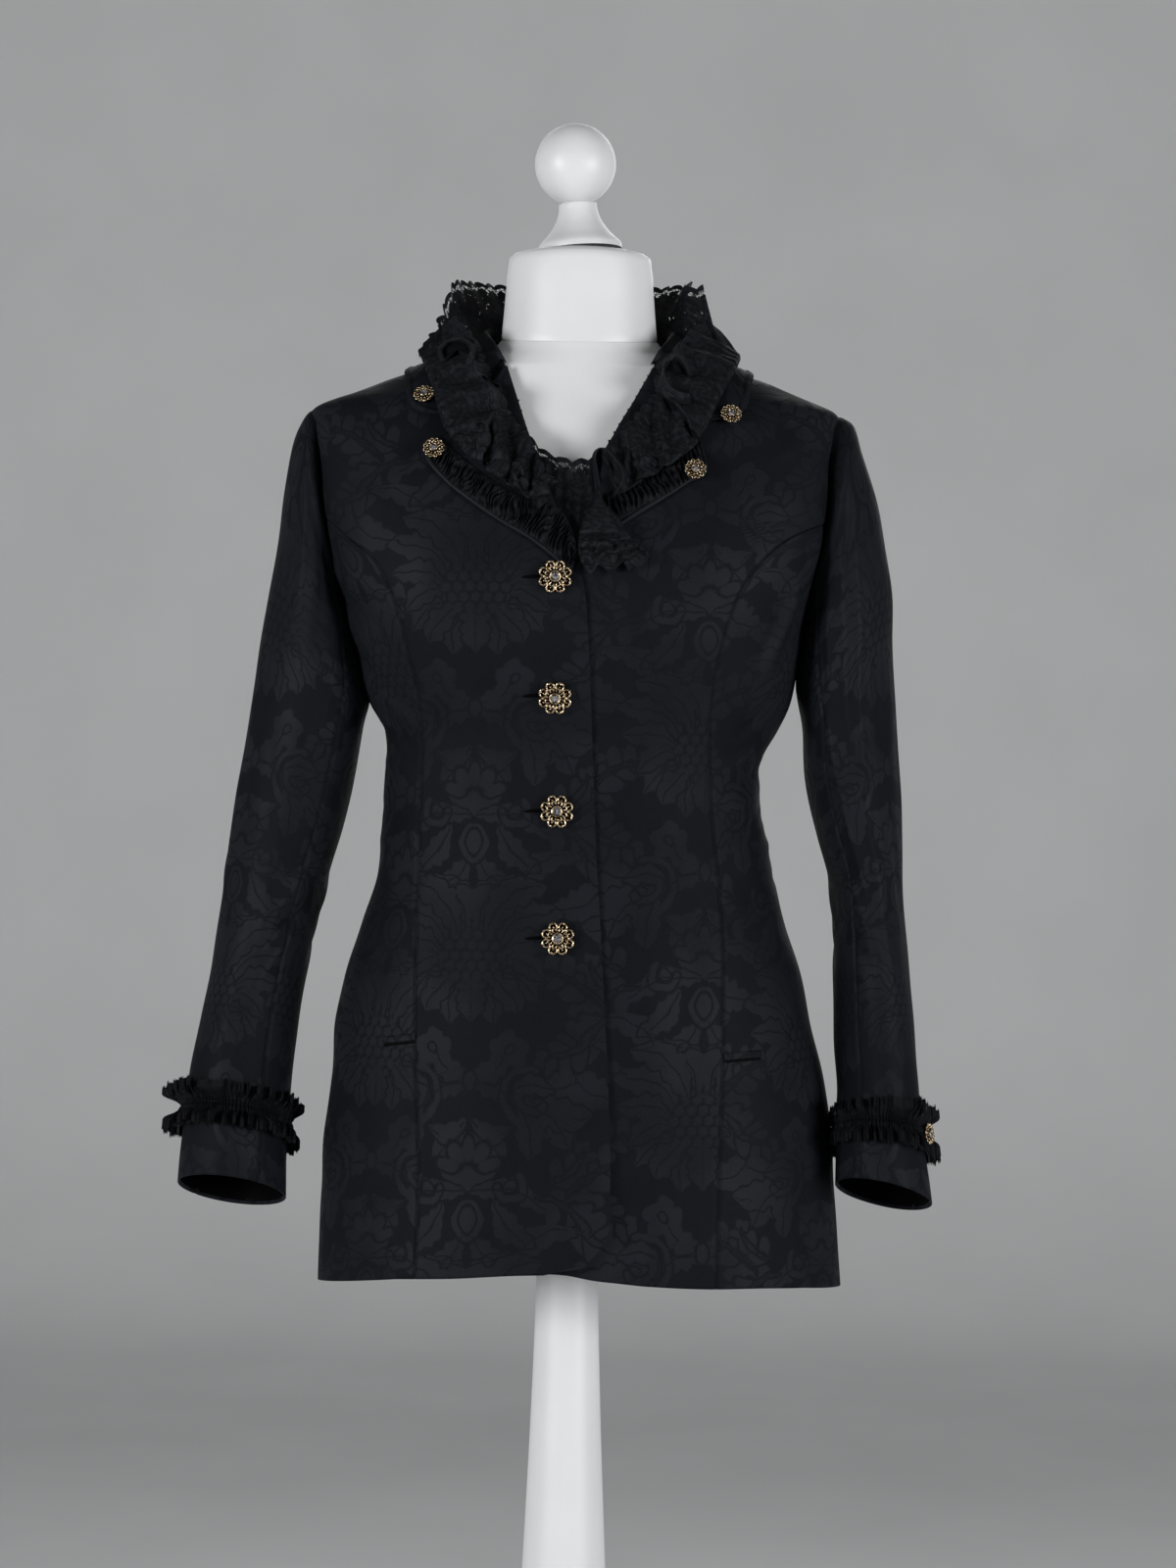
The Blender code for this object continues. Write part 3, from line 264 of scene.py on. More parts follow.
# Top of the torso: height, half width, reach to the front and to the back
NECK = (
    (1.428, 0.079, 0.053, 0.065),
    (1.434, 0.069, 0.052, 0.062),
    (1.443, 0.0625, 0.051, 0.06),
)
# Neck cap: height, half width, half depth
CAP = (
    (1.4433, 0.0625, 0.0555),
    (1.46, 0.061, 0.0545),
    (1.485, 0.059, 0.053),
    (1.504, 0.0572, 0.0515),
    (1.5115, 0.0545, 0.049),
    (1.514, 0.049, 0.044),
)
# Foot of the finial: height, radius
FINIAL = (
    (0.0, 0.0335),
    (0.0035, 0.0335),
    (0.0125, 0.0255),
    (0.022, 0.019),
    (0.031, 0.0158),
    (0.0375, 0.015),
)
BALL_RADIUS = 0.0325
BALL_MIDDLE = 0.0692
FINIAL_LEAN = math.radians(4.0)
# Column of the stand: height, radius
COLUMN = (
    (0.0183, 0.086),
    (0.05, 0.07),
    (0.12, 0.057),
    (0.22, 0.047),
    (0.34, 0.0385),
    (0.46, 0.0333),
    (0.57, 0.0285),
    (0.68, 0.025),
    (FORM_FOOT - SEAT_GAP, 0.024),
)
PLATE_RADIUS = 0.17
PLATE_HEIGHT = 0.018
PLATE_ROUND = 0.004  # of its upper edge

# Folds on the body: from x and height, to x and height, half width, height
FOLDS = {
    "front": (
        # pulls from the bust to the armholes
        (-0.2, 1.262, -0.15, 1.232, 0.006, 0.0022),
        (-0.198, 1.242, -0.146, 1.205, 0.0055, -0.0018),
        (-0.192, 1.228, -0.15, 1.18, 0.006, 0.002),
        (-0.186, 1.205, -0.15, 1.16, 0.005, -0.0015),
        (0.196, 1.29, 0.15, 1.18, 0.0045, 0.0024),
        (0.188, 1.29, 0.158, 1.165, 0.004, -0.002),
        (0.18, 1.262, 0.146, 1.16, 0.0045, 0.002),
        (0.17, 1.25, 0.139, 1.17, 0.004, -0.0012),
        (0.2, 1.25, 0.172, 1.185, 0.0045, 0.0018),
        # waist
        (0.152, 1.15, 0.122, 1.12, 0.004, -0.0014),
        (0.155, 1.128, 0.12, 1.098, 0.0045, 0.002),
        (0.154, 1.106, 0.122, 1.082, 0.004, -0.0018),
        (0.152, 1.092, 0.118, 1.062, 0.0045, 0.0022),
        (0.156, 1.066, 0.124, 1.045, 0.004, -0.0015),
        (0.164, 1.05, 0.128, 1.018, 0.005, 0.002),
        (0.17, 1.022, 0.134, 0.995, 0.005, -0.0012),
        (-0.156, 1.158, -0.118, 1.128, 0.0045, 0.0018),
        (-0.154, 1.135, -0.12, 1.11, 0.004, -0.0015),
        (-0.152, 1.108, -0.122, 1.092, 0.0045, 0.0014),
        (-0.155, 1.07, -0.118, 1.058, 0.005, -0.0012),
        (-0.158, 1.04, -0.122, 1.05, 0.0055, 0.0012),
        # long soft ones on the fronts
        (-0.045, 1.15, -0.062, 0.9, 0.016, 0.0012),
        (-0.088, 1.09, -0.1, 0.76, 0.014, -0.0012),
        (0.06, 1.13, 0.072, 0.82, 0.017, 0.0014),
        (0.09, 1.0, 0.094, 0.7, 0.014, -0.0012),
        (0.03, 1.18, 0.085, 1.12, 0.008, -0.0008),
        # from the buttons
        (-0.022, 1.064, -0.06, 1.056, 0.0032, 0.0009),
        (-0.022, 1.06, -0.068, 1.042, 0.0036, -0.0008),
        (0.022, 1.062, 0.052, 1.045, 0.0034, 0.0008),
        (-0.022, 0.967, -0.055, 0.96, 0.0034, 0.0008),
        (-0.026, 1.246, -0.06, 1.252, 0.0036, 0.0008),
        # from the shoulders
        (-0.185, 1.375, -0.15, 1.33, 0.007, 0.001),
        (0.186, 1.375, 0.15, 1.335, 0.007, 0.0012),
        (-0.178, 1.33, -0.12, 1.3, 0.008, -0.0008),
    ),
    "back": (
        (-0.196, 1.285, -0.15, 1.22, 0.0055, 0.0022),
        (-0.188, 1.26, -0.14, 1.19, 0.005, -0.0018),
        (0.197, 1.288, 0.155, 1.225, 0.0055, 0.0022),
        (0.188, 1.262, 0.142, 1.195, 0.005, -0.0016),
        (0.15, 1.14, 0.095, 1.1, 0.006, 0.002),
        (0.15, 1.11, 0.085, 1.078, 0.006, -0.002),
        (0.15, 1.082, 0.08, 1.05, 0.006, 0.0022),
        (-0.15, 1.145, -0.092, 1.11, 0.006, 0.002),
        (-0.15, 1.115, -0.082, 1.088, 0.006, -0.002),
        (-0.15, 1.085, -0.078, 1.06, 0.006, 0.002),
        (0.052, 1.12, -0.05, 1.108, 0.007, 0.0016),
        (0.05, 1.092, -0.054, 1.082, 0.007, -0.0014),
        (0.048, 1.064, -0.048, 1.058, 0.007, 0.0012),
        (0.06, 0.98, 0.07, 0.72, 0.017, 0.0018),
        (-0.05, 0.99, -0.066, 0.72, 0.017, 0.0018),
        (0.0, 0.95, 0.004, 0.7, 0.015, -0.0014),
    ),
}

# Folds on a sleeve: from turn and ring, to turn and ring, half width, height
SLEEVE_FOLDS = {
    "right": (
        (70, 0.3, 60, 4.5, 0.006, 0.0014),
        (95, 0.8, 88, 5.0, 0.0055, -0.0012),
        (118, 3.0, 112, 7.5, 0.006, 0.0014),
        (140, 8.4, 95, 10.2, 0.0065, 0.0022),
        (150, 9.2, 100, 10.8, 0.0055, -0.002),
        (142, 9.9, 92, 11.6, 0.006, 0.002),
        (30, 3.0, 42, 11.0, 0.008, 0.001),
        (62, 6.0, 70, 12.5, 0.007, -0.001),
        (-20, 8.6, 30, 9.4, 0.008, 0.001),
        (80, 11.5, 66, 13.4, 0.005, 0.001),
        (215, 8.6, 170, 9.8, 0.006, 0.002),
        (222, 9.6, 175, 10.6, 0.006, -0.0018),
        (240, 2.0, 232, 8.0, 0.007, 0.0012),
        (-70, 2.0, -62, 7.0, 0.008, -0.001),
    ),
    "left": (
        (62, 0.3, 56, 11.5, 0.0055, 0.0022),
        (78, 0.6, 72, 9.0, 0.005, -0.0018),
        (94, 1.0, 90, 11.0, 0.005, 0.0018),
        (112, 1.5, 108, 7.5, 0.0045, -0.0014),
        (38, 1.0, 34, 10.5, 0.006, -0.0012),
        (20, 3.0, 22, 9.0, 0.006, 0.001),
        (128, 8.8, 98, 10.4, 0.005, 0.0018),
        (132, 9.8, 96, 11.2, 0.005, -0.0016),
        (56, 12.0, 62, 13.4, 0.0045, 0.001),
        (215, 8.6, 170, 9.8, 0.006, 0.0018),
        (222, 9.6, 175, 10.6, 0.006, -0.0016),
        (240, 2.0, 232, 8.0, 0.007, 0.0012),
        (-70, 2.0, -62, 7.0, 0.008, -0.001),
    ),
}

# Gathered lace on collar and lapels, from the shoulder down: gathered edge x, y, z, then free
# edge x, y, z
FLOUNCES = {
    "right": (
        (-0.124, 0.014, 1.426, -0.101, 0.014, 1.456),
        (-0.124, -0.02, 1.422, -0.09, -0.024, 1.445),
        (-0.119, -0.048, 1.408, -0.077, -0.048, 1.422),
        (-0.111, -0.064, 1.383, -0.066, -0.064, 1.396),
        (-0.102, -0.076, 1.357, -0.056, -0.078, 1.372),
        (-0.086, -0.09, 1.337, -0.045, -0.09, 1.356),
        (-0.064, -0.102, 1.322, -0.035, -0.101, 1.344),
        (-0.044, -0.11, 1.309, -0.027, -0.108, 1.329),
        (-0.026, -0.116, 1.298, -0.019, -0.115, 1.314),
    ),
    "left": (
        (0.124, 0.014, 1.426, 0.101, 0.014, 1.456),
        (0.126, -0.02, 1.42, 0.088, -0.024, 1.443),
        (0.118, -0.048, 1.4, 0.073, -0.048, 1.418),
        (0.106, -0.064, 1.374, 0.064, -0.064, 1.393),
        (0.094, -0.078, 1.35, 0.054, -0.078, 1.374),
        (0.078, -0.092, 1.335, 0.04, -0.09, 1.36),
        (0.057, -0.104, 1.323, 0.028, -0.101, 1.349),
        (0.036, -0.112, 1.31, 0.019, -0.108, 1.338),
    ),
}
# Where the left flounce ends, in a crumpled tail: both edges, x and z
TAIL = (
    (0.0165, 1.3095, 0.019, 1.309),
    (0.013, 1.3007, 0.0215, 1.3005),
    (0.006, 1.2887, 0.033, 1.2889),
    (0.0026, 1.2787, 0.0392, 1.2785),
    (0.0018, 1.2688, 0.0485, 1.269),
    (0.0028, 1.2598, 0.0576, 1.26),
    (0.007, 1.251, 0.044, 1.254),
)
# How far across the upper ply of each flounce reaches: row, share
UPPER_PLY = {
    "right": (
        (0, 1.1), (1.6, 1.1), (2.2, 0.8), (3.0, 0.86), (3.6, 0.94), (4.1, 0.86), (4.6, 0.58),
        (5.2, 0.24), (5.7, -0.2), (8, -0.2),
    ),
    "left": (
        (0, 1.1), (1.5, 1.1), (2.2, 0.92), (3.0, 0.98), (3.4, 0.84), (3.8, 0.4), (4.2, -0.2),
        (8, -0.2),
    ),
}
# Soft folds of the lower ply: x, half width, height
LOWER_FOLDS = {
    "right": (
        (-0.0608, 0.005, 0.0066), (-0.0426, 0.0045, 0.007), (-0.027, 0.0035, 0.004),
        (-0.079, 0.004, 0.003),
    ),
    "left": (
        (0.0495, 0.0048, 0.006), (0.0655, 0.004, 0.0036), (0.0385, 0.003, 0.0034),
        (0.079, 0.0045, 0.004),
    ),
}
# Standing curls of the lace edge: rim x and z, width of the slope outside, height
CURLS = {
    "right": (
        (
            (
                (-0.105, 1.417), (-0.1098, 1.428), (-0.1036, 1.435), (-0.0933, 1.4365),
                (-0.085, 1.432), (-0.083, 1.4234), (-0.0868, 1.414),
            ),
            0.003, 0.0055,
        ),
    ),
    "left": (
        (
            (
                (0.0872, 1.406), (0.0835, 1.416), (0.0764, 1.4205), (0.069, 1.4185),
                (0.0652, 1.411), (0.0662, 1.4015), (0.0712, 1.394), (0.079, 1.3895),
                (0.086, 1.3915),
            ),
            0.0075, 0.0075,
        ),
        (
            (
                (0.019, 1.311), (0.016, 1.323), (0.0143, 1.334), (0.0143, 1.343), (0.0185, 1.3465),
                (0.025, 1.342), (0.0325, 1.3335), (0.037, 1.323), (0.033, 1.313), (0.026, 1.3085),
            ),
            0.003, 0.006,
        ),
    ),
}
# Lace about the nape, end to end: foot, bend and free edge
NAPE_FRILL = (
    (-0.098, -0.036, 1.415, -0.115, -0.038, 1.423, -0.1265, -0.04, 1.4235),
    (-0.094, -0.026, 1.426, -0.111, -0.028, 1.435, -0.1245, -0.03, 1.436),
    (-0.09, -0.016, 1.435, -0.104, -0.018, 1.443, -0.115, -0.018, 1.448),
    (-0.088, -0.006, 1.442, -0.101, -0.006, 1.451, -0.113, -0.004, 1.46),
    (-0.085, 0.004, 1.445, -0.1, 0.006, 1.463, -0.103, 0.012, 1.49),
    (-0.072, 0.018, 1.444, -0.086, 0.022, 1.464, -0.097, 0.03, 1.4955),
    (-0.063, 0.0355, 1.446, -0.066, 0.037, 1.464, -0.082, 0.056, 1.498),
    (-0.041, 0.06, 1.446, -0.042, 0.0634, 1.468, -0.052, 0.078, 1.4985),
    (0.0, 0.0684, 1.446, 0.0, 0.0712, 1.468, 0.0, 0.084, 1.4985),
    (0.041, 0.06, 1.446, 0.042, 0.0634, 1.468, 0.052, 0.078, 1.4985),
    (0.063, 0.0355, 1.446, 0.066, 0.037, 1.464, 0.082, 0.056, 1.498),
    (0.072, 0.018, 1.444, 0.083, 0.02, 1.464, 0.091, 0.026, 1.4965),
    (0.074, 0.004, 1.443, 0.08, 0.006, 1.462, 0.083, 0.01, 1.489),
    (0.1108, -0.018, 1.44, 0.106, -0.008, 1.46, 0.0985, 0.004, 1.4905),
)
# Ruched bands: edge by the flounce x and z, edge by the lapel's piping x and z
BANDS = {
    "right": (
        (-0.1065, 1.3545, -0.115, 1.3425),
        (-0.0885, 1.337, -0.0996, 1.32),
        (-0.061, 1.3165, -0.0707, 1.2975),
        (-0.0357, 1.304, -0.044, 1.2815),
        (-0.0136, 1.2974, -0.0277, 1.2711),
        (-0.0035, 1.282, -0.0132, 1.2594),
        (0.002, 1.2613, -0.0052, 1.2531),
    ),
    "left": (
        (0.0905, 1.351, 0.0996, 1.3363),
        (0.0785, 1.3385, 0.0866, 1.3218),
        (0.0515, 1.3225, 0.0607, 1.3053),
        (0.025, 1.311, 0.0341, 1.2933),
        (0.015, 1.304, 0.0251, 1.2868),
    ),
}

# ---- values --------------------------------------------------------------------------------


def blend(low, high, low_slope, high_slope, share, step=1.0):
    """Between two values, on a cubic that has these slopes at its ends."""
    rest = 1 - share
    return (
        low * (1 + 2 * share) * rest**2
        + high * share**2 * (3 - 2 * share)
        + step * share * rest * (low_slope * rest - high_slope * share)
    )


def curve(keys, found, value):
    """Values between keys, on a smooth curve."""
    slopes = np.gradient(found, keys)
    value = np.clip(np.asarray(value, dtype=float), keys[0], keys[-1])
    at = np.clip(np.searchsorted(keys, value, side="right") - 1, 0, len(keys) - 2)
    step = keys[at + 1] - keys[at]
    share = (value - keys[at]) / step
    return blend(found[at], found[at + 1], slopes[at], slopes[at + 1], share, step)


def read(table, column, value):
    """One column of a table at values of its first column, on a smooth curve."""
    rows = np.array(table, dtype=float)
    return curve(rows[:, 0], rows[:, column], value)


def read_row(rows, place):
    """All columns between rows, where place counts rows from 0."""
    rows = np.array(rows, dtype=float)
    keys = np.arange(len(rows), dtype=float)
    return [curve(keys, rows[:, column], place) for column in range(rows.shape[1])]


def ease(value, low, high):
    """From 0 at the low value to 1 at the high one, with soft ends."""
    share = np.clip((np.asarray(value, dtype=float) - low) / (high - low), 0, 1)
    return share * share * (3 - 2 * share)


def bell(value, width):
    """1 at 0, and falling off on both sides over about this width."""
    return np.exp(-((value / width) ** 2))


def arches(value, pitch, power=0.7):
    """A row of arches from 0 to 1, one to a pitch."""
    return np.abs(np.sin(np.pi * value / pitch)) ** power


def ripple(x, y, seed=0.0):
    """A smooth uneven value of about -1 to 1 that never repeats soon."""
    return (
        np.sin(1.0 * x + 0.37 * y + 1.3 * seed)
        + np.sin(-0.71 * x + 1.13 * y + 2.1 * seed + 1.7)
        + np.sin(1.93 * x - 0.83 * y + 3.7 * seed + 0.6)
        + np.sin(0.47 * x + 1.71 * y - 1.9 * seed + 4.1)
    ) / 3


def unit(vectors):
    """The vectors with their length made 1."""
    return vectors / np.maximum(np.linalg.norm(vectors, axis=-1, keepdims=True), 1e-12)


def across_rows(first, last, shares):
    """From the first to the last value of each row, at these shares of the way."""
    return first[:, None] + (last - first)[:, None] * shares


def interp_rows(wanted, keys, values):
    """Values read off for each row with keys of its own."""
    return np.array([np.interp(row, known, values) for row, known in zip(wanted, keys)])


def along_line(x, y, x0, y0, x1, y1):
    """Share of the way along a line, distance beside it, and its length."""
    long = math.hypot(x1 - x0, y1 - y0)
    tx, ty = (x1 - x0) / long, (y1 - y0) / long
    return ((x - x0) * tx + (y - y0) * ty) / long, -(x - x0) * ty + (y - y0) * tx, long


# ---- the figure ----------------------------------------------------------------------------


def reaches(height, cosine, sine):
    """Half width, half depth and squareness of the figure's section towards this side."""
    right, left, front, back, square = (read(BODY, column, height) for column in range(1, 6))
    return np.where(cosine > 0, left, right), np.where(sine >= 0, front, back), square


def bare(turn, height):
    """Points of the figure without folds, at turns about it and at heights."""
    turn, height = np.broadcast_arrays(np.asarray(turn, float), np.asarray(height, float))
    cosine, sine = np.cos(np.radians(turn)), np.sin(np.radians(turn))
    width, depth, square = reaches(height, cosine, sine)
    radius = (np.abs(cosine / width) ** square + np.abs(sine / depth) ** square) ** (-1 / square)
    rise = HEM_RISE * np.maximum(sine, 0) ** 1.3 * (1 - ease(height, HEM_HEIGHT, HEM_RISE_TOP))
    return np.stack([radius * cosine, -radius * sine, height + rise], axis=-1)


def outward(turn, height):
    """Normals of the figure."""
    along = bare(turn + 0.5, height) - bare(turn - 0.5, height)
    up = bare(turn, height + 0.001) - bare(turn, height - 0.001)
    return unit(np.cross(up, along))


def skin(turn, height):
    """Points of the figure without folds, and their normals."""
    return bare(turn, height), outward(turn, height)


def folds(points):
    """How far the folds lift points of the figure."""
    total = np.zeros(points.shape[:-1])
    x, y, z = np.moveaxis(points, -1, 0)
    for where, rows in FOLDS.items():
        near = (y < 0.01) if where == "front" else (y > -0.01)
        for *line, half, height in rows:
            along, across, long = along_line(x, z, *line)
            along = np.clip(along, 0, 1)
            across = across + 0.12 * long * (along - 0.5) ** 2
            total += near * height * np.sin(np.pi * along) ** 0.8 * bell(across, half)
    turn = np.arctan2(-y, x)
    drape = 0.0022 * (1 - ease(z, HEM_HEIGHT, 0.95))
    total += drape * np.sin(turn * 9 + 0.8) * (0.6 + 0.4 * np.sin(turn * 4 + 2))
    return total + 0.0004 * ripple(x * 90, z * 70 + y * 60)


def turn_at_x(x, height, facing):
    """Turn at which the figure's front or back has this x."""
    x, height = np.broadcast_arrays(np.asarray(x, float), np.asarray(height, float))
    width, depth, square = reaches(height, x, 1.0 if facing == FRONT else -1.0)
    share = np.minimum(np.abs(x) / width, 1.0)
    turn = np.degrees(np.arctan2(depth * (1 - share**square) ** (1 / square), x))
    return turn if facing == FRONT else 360 - turn


def turn_at_y(y, height, side):
    """Turn at which this side of the figure reaches forward by y."""
    width, depth, square = reaches(height, side, y)
    x = width * np.maximum(1 - (np.abs(y) / depth) ** square, 0.0) ** (1 / square)
    return np.degrees(np.arctan2(y, side * x)) % 360


def front_points(x, height, lift=0.0):
    """Points in front of the figure and their normals, given x and their real height."""
    x, height = np.broadcast_arrays(np.asarray(x, float), np.asarray(height, float))
    level = height.copy()
    for _ in range(4):
        turn = turn_at_x(x, level, FRONT)
        level = level + height - bare(turn, level)[..., 2]
    points, normals = skin(turn_at_x(x, level, FRONT), level)
    return points + normals * (lift + folds(points))[..., None], normals


def kept_clear(points, clearance):
    """Points moved out until they are this far from the figure."""
    probes = np.eye(3) * 0.0005

    def value(place):
        """Share by which a place lies outside the section at its height."""
        width, depth, square = reaches(place[..., 2], place[..., 0], -place[..., 1])
        share = np.abs(place[..., 0] / width) ** square + np.abs(place[..., 1] / depth) ** square
        return share ** (1 / square) - 1

    for _ in range(6):
        slopes = [(value(points + probe) - value(points - probe)) / 0.001 for probe in probes]
        slope = np.stack(slopes, axis=-1)
        steep = np.linalg.norm(slope, axis=-1)
        short = clearance - value(points) / steep
        short = np.where((short > 0) & (points[..., 2] < BODY[-1][0]), short, 0)
        points = points + slope / steep[..., None] * short[..., None]
    return points


# ---- seams ---------------------------------------------------------------------------------


def armhole_turn(side_name, facing, height):
    """Turn of the armhole's front or back edge."""
    share = np.clip((height - ARMHOLE_MIDDLE) / ARMHOLE_HALF_HEIGHT, -1, 1)
    forward = ARMHOLE_HALF_DEPTH * np.sqrt(1 - share**2) * (1 if facing == FRONT else -1)
    return turn_at_y(forward, height, SIDES[side_name])


def princess_turn(side_name, facing, height):
    """Turn of the princess seam, which runs into the armhole's edge."""
    side = SIDES[side_name]
    joint = bare(armhole_turn(side_name, facing, JOINT_HEIGHT), JOINT_HEIGHT)
    column = 3 if facing == BACK else (1 if side_name == "right" else 2)
    rows = [(row[0], row[column]) for row in PRINCESS] + [(JOINT_HEIGHT, abs(joint[0]))]
    return turn_at_x(side * read(rows, 1, height), height, facing)


def side_turn(side_name, facing):
    """Turn of the side seam, so that it follows on from the panel's other turns."""
    if side_name == "right":
        return 180.0
    return 0.0 if facing == FRONT else 360.0


def outer_turn(side_name, facing, height):
    """Turn of the princess seam, and above it of the armhole and the shoulder seam."""
    height = np.asarray(height, float)
    turn = princess_turn(side_name, facing, np.minimum(height, JOINT_HEIGHT))
    at_armhole = armhole_turn(side_name, facing, np.clip(height, JOINT_HEIGHT, ARMHOLE_TOP))
    if facing == BACK and side_name == "left":
        at_armhole = np.where(at_armhole < 90, at_armhole + 360, at_armhole)
    turn = np.where(height > JOINT_HEIGHT, at_armhole, turn)
    return np.where(height >= ARMHOLE_TOP, side_turn(side_name, facing), turn)


# ---- the woven pattern ---------------------------------------------------------------------

REPEAT_ACROSS, REPEAT_DOWN = 180.0, 288.0  # mm
MOTIF_TOP, MOTIF_FOOT = 90, 235  # mm that a motif reaches above its fruit and below it
OUTLINE = 1.7  # mm of dark ground about a shape that lies on another
FAR = 60.0  # mm, where no motif is near
FRUIT = (0, -4, 27, 23)  # middle x y, radii
CELL_X, CELL_Y = 9.2, 8.0  # mm between the fruit's cells


def ellipse(x, y, cx, cy, rx, ry, tilt=0.0):
    """Distance from an ellipse, negative inside."""
    c, s = np.cos(np.radians(tilt)), np.sin(np.radians(tilt))
    dx, dy = x - cx, y - cy
    return (np.hypot((dx * c + dy * s) / rx, (-dx * s + dy * c) / ry) - 1) * min(rx, ry)


def leaf(x, y, x0, y0, x1, y1, half, bend=0.0, full=0.9):
    """Distance from a pointed, toothed leaf along a bowed midrib, and from the midrib."""
    along, across, long = along_line(x, y, x0, y0, x1, y1)
    t = np.clip(along, 0, 1)
    rib = across - bend * 4 * t * (1 - t)
    teeth = max(2, round(long / 11))
    lobes = np.abs(np.sin(np.pi * (teeth * t**0.9 + 0.25))) ** 0.8
    beside = np.abs(rib) - half * np.sin(np.pi * t**full) ** 0.6 * (0.7 + 0.36 * lobes)
    past = np.maximum(np.maximum(-along, along - 1), 0) * long
    return np.hypot(np.maximum(beside, 0), past) + np.minimum(beside, 0) * 0.8, rib


def scroll(x, y, cx, cy, radius, half, start, stop):
    """Distance from a bent bar."""
    dx, dy = x - cx, y - cy
    ends = [
        np.hypot(dx - radius * np.cos(a), dy - radius * np.sin(a)) - half
        for a in np.radians((start, stop))
    ]
    turn = (np.degrees(np.arctan2(dy, dx)) - start) % 360
    away = np.abs(np.hypot(dx, dy) - radius) - half
    return np.where(turn <= stop - start, away, np.minimum(*ends))


def spray(x0, y0, x1, y1, size, bend, lobes=4):
    """Rows for a lobed leaf: rounded lobes on both sides of a bowed midrib."""
    long = np.hypot(x1 - x0, y1 - y0)
    tx, ty = (x1 - x0) / long, (y1 - y0) / long
    way = np.degrees(np.arctan2(ty, tx))
    rounds = [(0, x1, y1, size * 0.42, size * 0.24, way)]
    for index in range(lobes):
        t = (index + 0.55) / lobes
        bow = bend * 4 * t * (1 - t)
        here = size * (1 - 0.45 * t)
        for side in (-1, 1):
            lean = way + side * 48
            cx = x0 + tx * long * t - ty * bow + np.cos(np.radians(lean)) * here * 0.52
            cy = y0 + ty * long * t + tx * bow + np.sin(np.radians(lean)) * here * 0.52
            layer = (index + (side > 0)) % 2
            rounds.append((layer, cx, cy, here * 0.56, here * 0.31, lean))
    return rounds


# layer, foot x y, tip x y, half width, bend, fullness; in mm beside and below the fruit
ACANTHUS = (
    # petals that hang from the fruit
    (2, 0, 11, 0, 43, 11.0, 0.0, 1.0),
    (1, 10, 10, 18, 44, 10.0, -3.0, 1.0),
    (2, 17, 8, 37, 37, 10.0, -3.0, 1.0),
    (1, 24, 3, 51, 26, 9.5, -4.0, 1.0),
    (2, 27, -5, 58, 9, 9.0, -4.0, 1.0),
    # fan of leaves above it
    (2, 2, -26, 13, -64, 9.5, -5.0, 1.1),
    (1, 7, -26, 33, -70, 12.5, -10.0, 1.0),
    (2, 13, -24, 58, -64, 13.0, -12.0, 1.0),
    (1, 20, -18, 72, -40, 12.5, -10.0, 1.0),
    (2, 26, -12, 67, -16, 9.5, -6.0, 1.0),
    # long leaves that curl between the columns
    (0, 60, -44, 104, -70, 14.0, 9.0, 1.1),
    (1, 40, -66, 84, -86, 12.0, -9.0, 1.0),
    (0, 66, -6, 100, 18, 12.0, 8.0, 1.0),
    (2, 104, 34, 56, 4, 1.7, 7.0),
    (2, 100, 46, 58, 70, 1.7, -5.0),
    (2, 52, 176, 98, 206, 1.7, -6.0),
    (2, 60, 168, 88, 138, 1.7, 6.0),
    # leaves about the scroll
    (0, 44, 94, 94, 80, 14.0, 6.0, 1.1),
    (1, 48, 102, 94, 114, 13.0, 5.0, 1.1),
    (0, 46, 106, 78, 140, 13.0, -6.0, 1.1),
    (1, 38, 108, 46, 148, 11.0, -6.0, 1.1),
    (2, 34, 96, 66, 96, 8.0, -7.0, 1.0),
    # leaves on both sides of the stem
    (1, 3, 84, 27, 66, 10.0, 5.0, 1.0),
    (0, 2, 92, 30, 100, 10.5, -6.0, 1.0),
    (1, 2, 118, 34, 124, 8.5, 7.0, 1.0),
    (0, 2, 128, 26, 152, 12.0, -5.0, 1.0),
    (1, 2, 172, 62, 188, 9.5, -9.0, 1.0),
    (2, 20, 178, 54, 214, 9.5, 7.0, 1.0),
    (0, 4, 204, 30, 224, 10.0, 5.0, 1.0),
)
# layer, middle x y, radii, tilt
ROUNDS = (
    *spray(104, 34, 56, 4, 25, 7.0),
    *spray(100, 46, 58, 70, 22, -5.0),
    *spray(52, 176, 98, 206, 21, -6.0, 3),
    *spray(60, 168, 88, 138, 18, 6.0, 3),
    *(
        (1, 30 + 9.5 * np.cos(a), 64 + 9.5 * np.sin(a), 6.6, 6.6)
        for a in np.radians((-90, -18, 54, 126, 198))
    ),
    (2, 30, 64, 3.0, 3.0),
    (2, 0, 88, 5.0, 7.0),
    *(
        (2, 17.5 * np.sin(a), 157 - 17.5 * np.cos(a), 4.6, 9.6, np.degrees(a))
        for a in np.radians((0, 34, 70))
    ),
    (0, 0, 150, 22, 22),
    (2, 34, 169, 4.4, 4.4),
    (2, 0, 192, 5.6, 9.5),
    (1, 0, 193, 11.5, 15.5),
    (0, 48, 100, 15, 15),
)
# layer, middle x y, radius, half width, from and to in degrees
SCROLLS = (
    (2, 34, 169, 10.0, 2.4, -60, 190),
    (1, 48, 100, 22.0, 2.4, 50, 280),
    (2, 48, 100, 10.0, 2.6, 30, 290),
)


